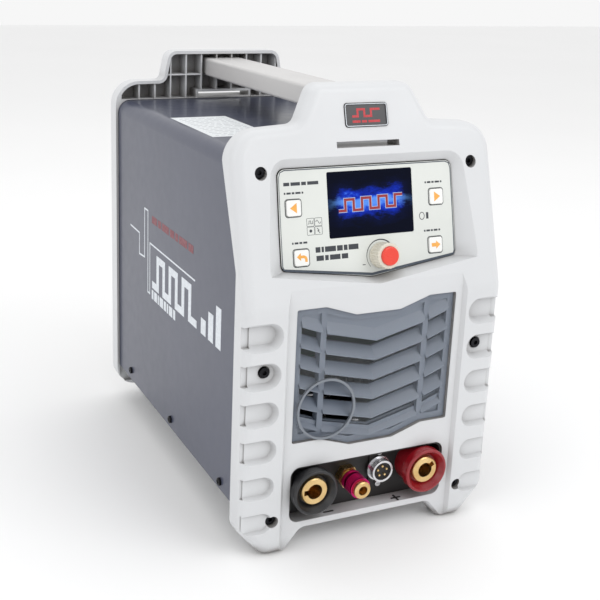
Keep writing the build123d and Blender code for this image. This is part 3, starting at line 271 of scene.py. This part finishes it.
def clear_sheet(name):
    """Clear polycarbonate: a thin film of reflection over what lies behind."""
    surface = Surface(name)
    smear = surface.noise(18.0, 5.0, 0.6, surface.stretched((1.0, 1.0, 2.2)))
    surface.set(Base_Color=surface.mix(surface.spread(smear, 0.3, 0.7, 0.0, 1.0), (0.52, 0.56, 0.60),
                                       (0.60, 0.63, 0.66)))
    surface.set(Roughness=surface.spread(smear, 0.35, 0.7, 0.03, 0.14))
    surface.set(IOR=1.45, Alpha=0.03, Specular_IOR_Level=0.8)
    surface.finish_normal(smear, 0.05, 0.1 * MM)
    return surface.material


def film(name, colour, roughness=0.34):
    """Printed polyester film with a fine pebble and slight yellowing in clouds."""
    surface = Surface(name)
    pebble = surface.noise(2200.0, 2.0)
    cloud = surface.noise(14.0, 4.0)
    surface.set(Base_Color=surface.mix(surface.spread(cloud, 0.3, 0.7, 0.0, 1.0), shade(colour, 0.96),
                                       shade(colour, 1.03)))
    surface.set(Roughness=surface.spread(cloud, 0.3, 0.7, roughness, roughness + 0.1))
    surface.finish_normal(pebble, 0.12, 0.05 * MM)
    return surface.material


def ink(name, colour, roughness=0.45):
    """Screen-printed ink with slightly uneven cover."""
    surface = Surface(name)
    cover = surface.noise(420.0, 4.0)
    surface.set(Base_Color=surface.mix(surface.spread(cover, 0.3, 0.75, 0.0, 1.0), colour,
                                       shade(colour, 0.82)))
    surface.set(Roughness=surface.spread(cover, 0.3, 0.7, roughness - 0.08, roughness + 0.12))
    surface.finish_normal(cover, 0.15, 0.03 * MM)
    return surface.material


def screen_picture(name):
    """Lit display: dark blue with a ragged bright blue band of light across the middle."""
    surface = Surface(name)
    low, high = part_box("lcd_screen")
    middle_x = (low[0] + high[0]) / 2
    middle_z = (low[2] + high[2]) / 2 + 1.0 * MM
    half_x = (high[0] - low[0]) / 2
    across = surface.maths("DIVIDE", surface.maths("SUBTRACT", surface.axis(0), middle_x), half_x)
    climb = surface.maths("SUBTRACT", surface.axis(2), middle_z)
    ragged = surface.noise(75.0, 6.0, 0.7, surface.stretched((0.7, 0.1, 1.6)))
    wander = surface.maths("MULTIPLY", surface.maths("SUBTRACT", ragged, 0.5), 26.0 * MM)
    off = surface.maths("ABSOLUTE", surface.maths("ADD", climb, wander))
    ends = surface.spread(surface.maths("ABSOLUTE", across), 0.55, 1.02, 1.0, 0.12, smooth=True)
    wide = surface.maths("MULTIPLY", surface.spread(off, 0.0, 20.0 * MM, 1.0, 0.0, smooth=True), ends)
    core = surface.maths("MULTIPLY", surface.spread(off, 0.0, 6.5 * MM, 1.0, 0.0, smooth=True), ends)
    sky = surface.ramp(wide, [(0.0, (0.001, 0.0012, 0.004)), (0.35, (0.002, 0.004, 0.03)),
                              (0.75, (0.006, 0.03, 0.50)), (1.0, (0.02, 0.12, 1.0))])
    glow = surface.mix(surface.maths("MULTIPLY", core, 0.75), sky, (0.16, 0.42, 1.0))
    dots = surface.node("ShaderNodeTexWave", wave_type="BANDS", bands_direction="X")
    surface.link(surface.place, dots.inputs["Vector"])
    dots.inputs["Scale"].default_value = 900.0
    glow = surface.mix(surface.spread(dots.outputs["Fac"], 0.0, 1.0, 0.12, 0.0), glow, (0.0, 0.0, 0.01))
    surface.set(Base_Color=(0.002, 0.003, 0.008, 1.0), Roughness=0.25, Emission_Color=glow,
                Emission_Strength=1.0)
    surface.set(Specular_IOR_Level=0.04)
    return surface.material


def glowing(name, colour, strength):
    surface = Surface(name)
    flicker = surface.noise(600.0, 3.0)
    surface.set(Base_Color=(0.0, 0.0, 0.0, 1.0), Roughness=0.3)
    surface.set(Emission_Color=surface.mix(flicker, colour, shade(colour, 0.6)), Emission_Strength=strength)
    return surface.material


def circuit(name):
    surface = Surface(name)
    tracks = surface.cells(420.0, surface.stretched((1.0, 1.0, 0.2)))
    body = surface.mix(surface.spread(tracks, 0.12, 0.2, 1.0, 0.0), (0.008, 0.11, 0.045), (0.02, 0.2, 0.08))
    surface.set(Base_Color=body, Roughness=surface.spread(tracks, 0.1, 0.4, 0.25, 0.42))
    surface.finish_normal(tracks, 0.3, 0.05 * MM)
    return surface.material


def wound(name, colour, turns):
    surface = Surface(name)
    wave = surface.node("ShaderNodeTexWave", wave_type="BANDS", bands_direction="Z")
    surface.link(surface.place, wave.inputs["Vector"])
    wave.inputs["Scale"].default_value = turns
    wave.inputs["Distortion"].default_value = 0.6
    band = wave.outputs["Fac"]
    surface.set(Base_Color=surface.mix(band, shade(colour, 0.6), colour))
    surface.set(Roughness=surface.spread(band, 0.0, 1.0, 0.28, 0.45))
    surface.finish_normal(band, 0.5, 0.4 * MM)
    return surface.material


WHITE = (0.63, 0.64, 0.655)
SLATE = (0.064, 0.071, 0.106)
finishes = {
    # bezel: the last colour is the painted shade for deep hollows, such as the ribbed rear cells
    "bezel_plastic": moulded("bezel_plastic_white", WHITE, 0.36, 1300.0, 0.12, (0.76, 0.77, 0.78), 0.7,
                             0.02, 0.15, (0.16, 0.145, 0.135)),
    "cover_paint": powder_coat("cover_paint_slate", SLATE, 0.30),
    "tray_steel": metal("tray_steel_zinc", (0.55, 0.56, 0.58), 0.38, (500.0, 20.0, 20.0)),
    "black_screw": metal("black_screw_oxide", (0.03, 0.03, 0.034), 0.36, (400.0, 400.0, 400.0), 0.6),
    "steel_screw": metal("steel_screw_plated", (0.55, 0.55, 0.56), 0.26, (400.0, 400.0, 400.0), 0.7),
    "rubber": soft_rubber("rubber_black", (0.018, 0.018, 0.019)),
    "bar_plastic": moulded("bar_paint_satin", (0.56, 0.55, 0.545), 0.40, 1100.0, 0.14, (0.78, 0.78, 0.77),
                           0.8, 0.03, 0.1),
    "badge": moulded("badge_black", (0.022, 0.022, 0.026), 0.3, 900.0, 0.1, (0.1, 0.1, 0.11), 0.3, 0.1,
                     0.3),
    "overlay_film": film("overlay_film_grey", (0.68, 0.70, 0.67)),
    "black_plastic": moulded("black_plastic_matt", (0.011, 0.010, 0.010), 0.55, 1500.0, 0.3,
                             (0.06, 0.06, 0.065), 0.4, 0.12),
    "module_metal": metal("module_metal_stamped", (0.56, 0.56, 0.57), 0.3, (300.0, 30.0, 30.0)),
    "circuit_board": circuit("circuit_board_green"),
    "key_plastic": moulded("key_plastic_white", (0.84, 0.84, 0.82), 0.34, 1600.0, 0.12, (0.9, 0.9, 0.9),
                           0.5, 0.02, 0.2),
    "knob_plastic": moulded("knob_plastic_ivory", (0.70, 0.66, 0.56), 0.38, 1500.0, 0.18, (0.8, 0.78, 0.7),
                            0.3, 0.06, 0.1),
    "knob_red": moulded("knob_cap_red", (0.76, 0.045, 0.022), 0.28, 1500.0, 0.08, (0.85, 0.16, 0.1), 0.4,
                        0.05, 0.3),
    "grille_plastic": moulded("grille_plastic_slate", (0.145, 0.170, 0.215), 0.34, 1300.0, 0.14,
                              (0.22, 0.25, 0.30), 0.4, 0.06, 0.1),
    "clear_sheet": clear_sheet("clear_sheet_polycarbonate"),
    "ring_plastic": moulded("ring_plastic_smoke", (0.17, 0.19, 0.22), 0.2, 1300.0, 0.06, (0.3, 0.32, 0.36),
                            0.3, 0.05, 0.4),
    "black_insulator": moulded("black_insulator_phenolic", (0.014, 0.014, 0.016), 0.36, 1100.0, 0.22,
                               (0.06, 0.06, 0.065), 0.4, 0.12, 0.1),
    "red_insulator": moulded("red_insulator_phenolic", (0.24, 0.006, 0.012), 0.27, 1100.0, 0.2,
                             (0.38, 0.05, 0.05), 0.4, 0.12, 0.15),
    "brass": metal("brass_turned", (0.86, 0.62, 0.30), 0.25, (220.0, 40.0, 220.0), 0.62, 0.2,
                   (0.62, 0.40, 0.16)),
    "sleeve_magenta": metal("sleeve_anodised_magenta", (0.72, 0.03, 0.22), 0.3, (220.0, 40.0, 220.0), 0.6,
                            0.25),
    "chrome": metal("chrome_bright", (0.72, 0.72, 0.74), 0.16, (200.0, 200.0, 200.0), 0.8, 0.08),
    "rocker_red": moulded("rocker_red_gloss", (0.45, 0.012, 0.012), 0.24, 1500.0, 0.06, (0.7, 0.1, 0.1),
                          0.4, 0.05, 0.3),
    "heatsink_aluminium": metal("heatsink_aluminium", (0.70, 0.70, 0.72), 0.36, (20.0, 500.0, 20.0)),
    "capacitor_sleeve": moulded("capacitor_sleeve_blue", (0.012, 0.018, 0.06), 0.3, 900.0, 0.1,
                                (0.1, 0.12, 0.2), 0.3),
    "ferrite": moulded("ferrite_grey", (0.06, 0.06, 0.065), 0.6, 700.0, 0.4, (0.12, 0.12, 0.12), 0.2),
    "winding_tape": wound("winding_tape_yellow", (0.70, 0.42, 0.04), 300.0),
    "valve_brass": metal("valve_brass_cast", (0.70, 0.52, 0.25), 0.4, (200.0, 200.0, 200.0), 0.6, 0.4),
    "label_paper": film("label_paper_white", (0.80, 0.83, 0.85), 0.3),
    "screen_glass": screen_picture("screen_picture_blue"),
}
for part in frame["record"]["subparts"]:
    shown = frame["nodes"][part["node"]]
    for index in range(len(shown.material_slots)):
        shown.material_slots[index].material = finishes[part["material_slot"]]

INK_DARK = ink("ink_dark_grey", (0.035, 0.04, 0.05))
# the slate border colour is partly print and partly painted shadow of the overlay's recess edge
BORDER_INK_AND_SHADOW = ink("overlay_border_print_and_shadow", (0.06, 0.075, 0.10))
INK_WHITE = ink("ink_white_side", (0.74, 0.78, 0.83), 0.38)
INK_RED = ink("ink_red_side", (0.20, 0.035, 0.05), 0.4)
INK_ORANGE = ink("ink_orange_icon", (0.90, 0.42, 0.08))
INK_BADGE = ink("ink_red_badge", (0.50, 0.02, 0.03), 0.3)


# ------------------------------------------------------------ thin printed and raised pieces
def setting(origin, right, up):
    """Matrix that puts flat drawings, in millimetres, on a face of the object."""
    out = right.cross(up)
    turned = Matrix((right, up, out)).transposed().to_4x4()
    return Matrix.Translation(origin) @ turned @ Matrix.Scale(MM, 4)


def polygon(points):
    return points, [list(range(len(points)))]


def rectangle(x0, y0, x1, y1):
    return polygon([(x0, y0), (x1, y0), (x1, y1), (x0, y1)])


def disc(x, y, radius, count=24):
    ring = [(x + radius * math.cos(2 * math.pi * i / count),
             y + radius * math.sin(2 * math.pi * i / count)) for i in range(count)]
    return polygon(ring)


def rounded_rectangle(x, y, half_width, half_height, radius, steps=5):
    """Corner points of a rounded rectangle round (x, y)."""
    ring = []
    for corner in range(4):
        sign_x = 1 if corner in (0, 3) else -1
        sign_y = 1 if corner in (0, 1) else -1
        for i in range(steps + 1):
            angle = math.pi / 2 * (corner + i / steps)
            ring.append((x + sign_x * (half_width - radius) + radius * math.cos(angle),
                         y + sign_y * (half_height - radius) + radius * math.sin(angle)))
    return ring


def ribbon(points, widths, closed=False):
    """Band of faces that follows a line, with mitred corners; widths is one number or one per point."""
    count = len(points)
    if not isinstance(widths, (list, tuple)):
        widths = [widths] * count
    left, right = [], []
    for i, point in enumerate(points):
        here = Vector(point)
        before = Vector(points[i - 1]) if i > 0 or closed else None
        after = Vector(points[(i + 1) % count]) if i < count - 1 or closed else None
        incoming = (here - before).normalized() if before is not None else (after - here).normalized()
        outgoing = (after - here).normalized() if after is not None else incoming
        normal_in = Vector((-incoming.y, incoming.x))
        normal_out = Vector((-outgoing.y, outgoing.x))
        mitre = (normal_in + normal_out).normalized()
        reach = widths[i] / 2 / max(0.35, mitre.dot(normal_in))
        left.append(tuple(here + mitre * reach))
        right.append(tuple(here - mitre * reach))
    faces = []
    for i in range(count if closed else count - 1):
        j = (i + 1) % count
        faces.append([count + i, count + j, j, i])
    return left + right, faces


def inlay(name, place, shapes, thickness, material, body, lift=0.0, bevel=0.0):
    """Thin closed piece raised from a face: flat shapes in millimetres, thickened outwards."""
    mesh = bmesh.new()
    for points, faces in shapes:
        corners = [mesh.verts.new((x, y, lift)) for x, y in points]
        for face in faces:
            mesh.faces.new([corners[i] for i in face])
    bmesh.ops.recalc_face_normals(mesh, faces=mesh.faces)
    for face in mesh.faces:
        if face.normal.z > 0:
            face.normal_flip()
    lower = list(mesh.faces)
    grown = bmesh.ops.extrude_face_region(mesh, geom=lower, use_keep_orig=True)
    raised = [item for item in grown["geom"] if isinstance(item, bmesh.types.BMVert)]
    bmesh.ops.translate(mesh, verts=raised, vec=(0.0, 0.0, thickness))
    bmesh.ops.recalc_face_normals(mesh, faces=mesh.faces)
    mesh.transform(place)
    data = bpy.data.meshes.new(name)
    mesh.to_mesh(data)
    mesh.free()
    piece = bpy.data.objects.new(name, data)
    bpy.context.scene.collection.objects.link(piece)
    data.materials.append(material)
    if bevel > 0:
        soft = piece.modifiers.new("soft_edges", "BEVEL")
        soft.width = bevel * MM
        soft.segments = 2
        soft.limit_method = "ANGLE"
    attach(piece, body)
    return piece


# ---- control panel
PANEL = setting(PANEL_ORIGIN, RIGHT, PANEL_UP)
KEYS = {
    "left": (-66.3, 47.5),
    "return": (-61.8, 9.0),
    "right": (62.3, 48.5),
    "execute": (59.7, 9.4),
}
KEY_HALF = 6.2
KEY_TOP = 1.4
ICON_THICKNESS = 0.10
PRINT_THICKNESS = 0.05
ICONS = {
    "left": [polygon([(-3.4, 0.0), (2.3, -4.0), (2.3, 4.0)])],
    "right": [polygon([(3.4, 0.0), (-2.3, 4.0), (-2.3, -4.0)])],
    "execute": [polygon([(-4.0, -1.5), (0.2, -1.5), (0.2, -3.3), (4.2, 0.0), (0.2, 3.3), (0.2, 1.5),
                         (-4.0, 1.5)])],
    "return": [
        polygon([(-4.4, 0.9), (-1.0, 3.9), (-1.0, -2.1)]),
        ribbon([(-1.0, 0.9), (1.6, 0.9), (3.0, 0.2), (3.6, -1.2), (3.6, -3.2)], 2.1),
    ],
}
for key, (x, y) in KEYS.items():
    shapes = [([(x + px, y + py) for px, py in points], faces) for points, faces in ICONS[key]]
    inlay("icon_" + key, PANEL, shapes, ICON_THICKNESS, INK_ORANGE, "key_" + key, KEY_TOP - 0.02)
    surround = ribbon(rounded_rectangle(x, y, KEY_HALF + 0.75, KEY_HALF + 0.75, 2.2), 0.5, True)
    inlay("key_surround_" + key, PANEL, [surround], 0.06, INK_DARK, "root", 0.0)


def short_bars(x, y, lengths, height, gap):
    """Row of short bars that stands where small lettering would be."""
    bars = []
    for length in lengths:
        bars.append(rectangle(x, y, x + length, y + height))
        x += length + gap
    return bars


# dark line round the overlay, partly a printed border and partly painted shadow of the recess edge, thick
# along its V-shaped foot where it paints the shadow of the deep recess gap
BORDER = [
    (0.0, -9.1), (74.5, 0.3), (77.2, 0.9), (77.9, 3.4), (77.8, 30.0), (77.3, 71.0), (76.0, 75.0),
    (72.5, 76.5),
    (-72.5, 76.5), (-76.0, 75.0), (-77.3, 71.0), (-77.8, 30.0), (-77.9, 3.4), (-77.2, 1.1), (-74.5, 0.3),
]
BORDER_WIDTH = [2.2, 1.9, 1.4, 0.9, 0.8, 0.8, 0.8, 0.8, 0.8, 0.6, 0.5, 0.5, 0.7, 1.2, 1.9]
inlay("overlay_border", PANEL, [ribbon(BORDER, BORDER_WIDTH, True)], PRINT_THICKNESS, BORDER_INK_AND_SHADOW, "root")

LABEL_HEIGHT = 1.5
labels = []
labels += short_bars(-73.6, 58.2, (1.3, 3.6, 2.2, 4.4, 1.4), LABEL_HEIGHT, 0.9)
labels += short_bars(52.4, 59.6, (1.3, 3.4, 2.2, 4.2, 1.4), LABEL_HEIGHT, 0.9)
labels += short_bars(-69.0, 19.8, (1.3, 3.2, 2.4, 3.4), LABEL_HEIGHT, 0.9)
labels += short_bars(49.8, 20.6, (1.4, 3.4, 1.8, 3.6, 1.6), LABEL_HEIGHT, 0.9)
inlay("key_labels", PANEL, labels, PRINT_THICKNESS, INK_DARK, "root")

# generic rows where the machine's names stood
rows = short_bars(-73.6, 64.6, (5.0, 8.0, 4.0, 9.5), 2.6, 1.1)
rows += short_bars(-49.2, 11.9, (4.2, 2.0, 9.6, 5.0, 3.2, 8.8), 4.2, 1.0)
rows += short_bars(-48.8, 5.4, (6.4, 3.0, 9.2, 5.6), 4.0, 1.2)
inlay("panel_name_bars", PANEL, rows, PRINT_THICKNESS, INK_DARK, "root")

# plate of four little pictures: square wave, sine wave, drop and spark
cells = []
for cx, cy in ((-52.4, 35.7), (-45.6, 35.7), (-52.4, 29.0), (-45.6, 29.0)):
    cells.append(ribbon(rounded_rectangle(cx, cy, 3.1, 3.1, 0.5, 2), 0.3, True))
cells.append(ribbon([(-54.6, 34.6), (-53.6, 34.6), (-53.6, 36.8), (-52.2, 36.8), (-52.2, 34.6),
                     (-50.6, 34.6), (-50.6, 36.8)], 0.4))
wave = [(-47.8 + 0.37 * i, 35.7 + 1.3 * math.sin(0.52 * i)) for i in range(13)]
cells.append(ribbon(wave, 0.4))
cells.append(disc(-52.4, 29.0, 1.2, 16))
cells.append(ribbon([(-47.0, 31.0), (-45.2, 29.2), (-46.4, 28.8), (-44.4, 27.0)], 0.5))
inlay("panel_pictures", PANEL, cells, PRINT_THICKNESS, INK_DARK, "root")

# two thin rings at the right, where an approval mark stood
marks = [ribbon([(48.4 + 2.3 * math.cos(a * math.pi / 9),
                  33.6 + 2.9 * math.sin(a * math.pi / 9)) for a in range(18)], 0.55, True)]
marks.append(short_bars(52.4, 31.0, (2.2,), 5.2, 0.0)[0])
inlay("panel_marks", PANEL, marks, PRINT_THICKNESS, INK_DARK, "root")

# scale round the knob: widening arc, minus and plus
KNOB = (8.3, 5.2)
ARC_RADIUS = 12.6
arc = []
for step in range(25):
    angle = math.radians(222 - step * 11)
    arc.append((KNOB[0] + ARC_RADIUS * math.cos(angle), KNOB[1] + ARC_RADIUS * math.sin(angle)))
scale_marks = [ribbon(arc, [0.3 + 0.05 * i for i in range(25)])]
scale_marks.append(rectangle(-8.4, -1.4, -5.8, -0.8))
scale_marks.append(rectangle(22.3, -1.0, 24.9, -0.4))
scale_marks.append(rectangle(23.3, -2.0, 23.9, 0.6))
inlay("knob_scale", PANEL, scale_marks, PRINT_THICKNESS, INK_DARK, "root")

# ---- lit drawing on the display: a pulse between two steps, in red edged with white
pulse = [(-27.0, 42.5), (-21.0, 42.5), (-21.0, 51.0), (-13.5, 51.0), (-13.5, 42.5), (-6.0, 42.5),
         (-6.0, 51.5),
         (1.5, 51.5), (1.5, 43.0), (9.0, 43.0), (9.0, 52.0), (16.5, 52.0), (16.5, 43.5), (24.0, 43.5),
         (24.0, 52.5), (31.0, 52.5)]
LIT_WHITE = glowing("lit_line_white", (0.55, 0.70, 1.0), 0.9)
LIT_RED = glowing("lit_line_red", (0.50, 0.03, 0.04), 0.8)
SCREEN_FACE = -0.3
inlay("display_line_edge", PANEL, [ribbon(pulse, 3.0)], 0.04, LIT_WHITE, "root", SCREEN_FACE)
inlay("display_line", PANEL, [ribbon(pulse, 2.0)], 0.08, LIT_RED, "root", SCREEN_FACE)

# ---- badge: light rim, and a red pulse over three short bars on its sunk face
BADGE = setting(NOSE_ORIGIN + UPPER_UP * BADGE_CLIMB, RIGHT, UPPER_UP)
BADGE_FACE = 0.0
BADGE_RIM = 0.7
rim = ribbon(rounded_rectangle(0.0, 0.0, 18.4, 8.6, 1.9), 0.5, True)
inlay("badge_rim", BADGE, [rim], PRINT_THICKNESS, INK_WHITE, "root", BADGE_RIM)
badge_pulse = [(-12.5, -1.0), (-7.5, -1.0), (-7.5, 4.4), (-1.5, 4.4), (-1.5, -1.0), (4.5, -1.0),
               (4.5, 4.4), (12.5, 4.4)]
badge_marks = [ribbon(badge_pulse, 1.8)] + short_bars(-12.5, -6.0, (7.0, 4.5, 10.5), 1.9, 1.3)
inlay("badge_marks", BADGE, badge_marks, PRINT_THICKNESS, INK_BADGE, "root", BADGE_FACE)

# ---- rows of bars on the label on top of the cover
LABEL_LOW, LABEL_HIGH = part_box("rating_label")
LABEL = setting(Vector((LABEL_LOW[0], LABEL_LOW[1], LABEL_HIGH[2])), RIGHT, Vector((0.0, 1.0, 0.0)))
label_rows = []
for index in range(13):
    lengths = [3.0 + (index * 5 + step * 7) % 6 for step in range(6)]
    label_rows += short_bars(5.0, 6.0 + 7.2 * index, lengths, 1.2, 2.0)
INK_LABEL = ink("ink_grey_label", (0.42, 0.44, 0.46))
inlay("rating_label_rows", LABEL, label_rows, PRINT_THICKNESS, INK_LABEL, "root")

# ---- side panels: pulse line, bold square wave and rows of bars
SIDES = {
    "left": setting(Vector((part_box("cover")[0][0], 0.0, 0.0)), Vector((0.0, -1.0, 0.0)), UP),
    "right": setting(Vector((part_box("cover")[1][0], 0.0, 0.0)), Vector((0.0, 1.0, 0.0)), UP),
}
THIN_LINE = [(-110.0, 205.0), (-81.0, 204.0), (-81.0, 183.0), (-65.0, 184.0), (-65.0, 232.0),
             (-55.0, 232.0),
             (-55.0, 152.0), (-49.0, 152.0), (-49.0, 202.0), (71.0, 201.0)]
BOLD_WAVE = [(-42.0, 163.5), (-26.0, 163.5), (-26.0, 191.5), (-9.0, 191.5), (-9.0, 163.5), (8.0, 163.5),
             (8.0, 191.5),
             (25.0, 191.5), (25.0, 163.5), (42.0, 163.5), (42.0, 191.5), (59.0, 191.5), (59.0, 163.5),
             (76.0, 163.5)]
SIDE_THICKNESS = 0.10
NAME_BARS = (5.0, 8.0, 3.5, 9.5, 6.0, 4.0, 9.0, 5.5)
RED_BARS = (14.0, 9.0, 18.0, 11.0, 7.0, 20.0, 12.0)
for side, place in SIDES.items():
    inlay("side_thin_line_" + side, place, [ribbon(THIN_LINE, 1.6)], SIDE_THICKNESS, INK_WHITE, "root")
    bold = [ribbon(BOLD_WAVE, 7.0)]
    for index, height in enumerate((14.0, 24.5, 35.0)):
        start = 86.0 + 16.5 * index
        bold.append(rectangle(start, 160.0, start + 11.0, 160.0 + height))
    inlay("side_bold_wave_" + side, place, bold, SIDE_THICKNESS, INK_WHITE, "root")
    small = short_bars(-43.0, 149.0, NAME_BARS, 9.0, 2.2)
    inlay("side_small_bars_" + side, place, small, SIDE_THICKNESS, INK_WHITE, "root")
    red = short_bars(-43.0, 223.0, RED_BARS, 7.0, 3.0)
    inlay("side_red_bars_" + side, place, red, SIDE_THICKNESS, INK_RED, "root")

# ------------------------------------------------------------ floor, light and camera
def area_light(name, place, target, size, power, colour=(1.0, 1.0, 1.0)):
    data = bpy.data.lights.new(name, "AREA")
    data.shape = "RECTANGLE"
    data.size, data.size_y = size
    data.energy = power
    data.color = colour
    lamp = bpy.data.objects.new(name, data)
    lamp.location = place
    lamp.rotation_euler = (Vector(target) - Vector(place)).to_track_quat("-Z", "Y").to_euler()
    bpy.context.scene.collection.objects.link(lamp)


def make_floor():
    mesh = bmesh.new()
    bmesh.ops.create_grid(mesh, x_segments=8, y_segments=8, size=6.0)
    data = bpy.data.meshes.new("studio_floor")
    mesh.to_mesh(data)
    mesh.free()
    floor = bpy.data.objects.new("studio_floor", data)
    floor.location = (0.0, 0.0, CAD_BOX[0][2])
    surface = Surface("studio_floor_paper")
    cloud = surface.noise(1.5, 3.0)
    surface.set(Base_Color=surface.mix(cloud, (0.90, 0.90, 0.90), (0.93, 0.93, 0.93)), Roughness=0.7)
    surface.finish_normal(surface.noise(300.0), 0.02, 0.1 * MM)
    data.materials.append(surface.material)
    bpy.context.scene.collection.objects.link(floor)


OBJECT_MIDDLE = (0.0, 0.0, 0.15)
make_floor()
area_light("key_front_right", (0.9, -1.5, 1.5), OBJECT_MIDDLE, (1.4, 1.4), 11.0)
area_light("fill_left", (-1.7, -0.4, 0.9), OBJECT_MIDDLE, (1.5, 1.2), 4.0)
area_light("top_soft", (0.0, 0.3, 1.9), (0.0, 0.0, 0.2), (1.8, 1.8), 6.0)

world = bpy.data.worlds.new("studio_world")
bpy.context.scene.world = world
world.use_nodes = True
world.node_tree.nodes["Background"].inputs["Color"].default_value = (1.0, 1.0, 1.0, 1.0)
world.node_tree.nodes["Background"].inputs["Strength"].default_value = 0.93
bpy.context.scene.view_settings.view_transform = "Standard"

camera_data = bpy.data.cameras.new("camera")
camera = bpy.data.objects.new("camera", camera_data)
bpy.context.scene.collection.objects.link(camera)
camera_data.sensor_width = 36.0
camera_data.lens = 61.257
camera_data.shift_x = 0.0833
camera_data.shift_y = -0.0833
camera_data.clip_end = 50.0
CAMERA_PLACE = (-0.40543, -0.83327, 0.46186)
CAMERA_RIGHT = Vector((0.9156, -0.4013, 0.0294))
CAMERA_UP = Vector((0.0849, 0.2626, 0.9618))
across = CAMERA_RIGHT.normalized()
upward = (CAMERA_UP - across * CAMERA_UP.dot(across)).normalized()
turn = Matrix((across, upward, across.cross(upward))).transposed().to_4x4()
camera.matrix_world = Matrix.Translation(CAMERA_PLACE) @ turn
bpy.context.scene.camera = camera

bpy.context.view_layer.update()
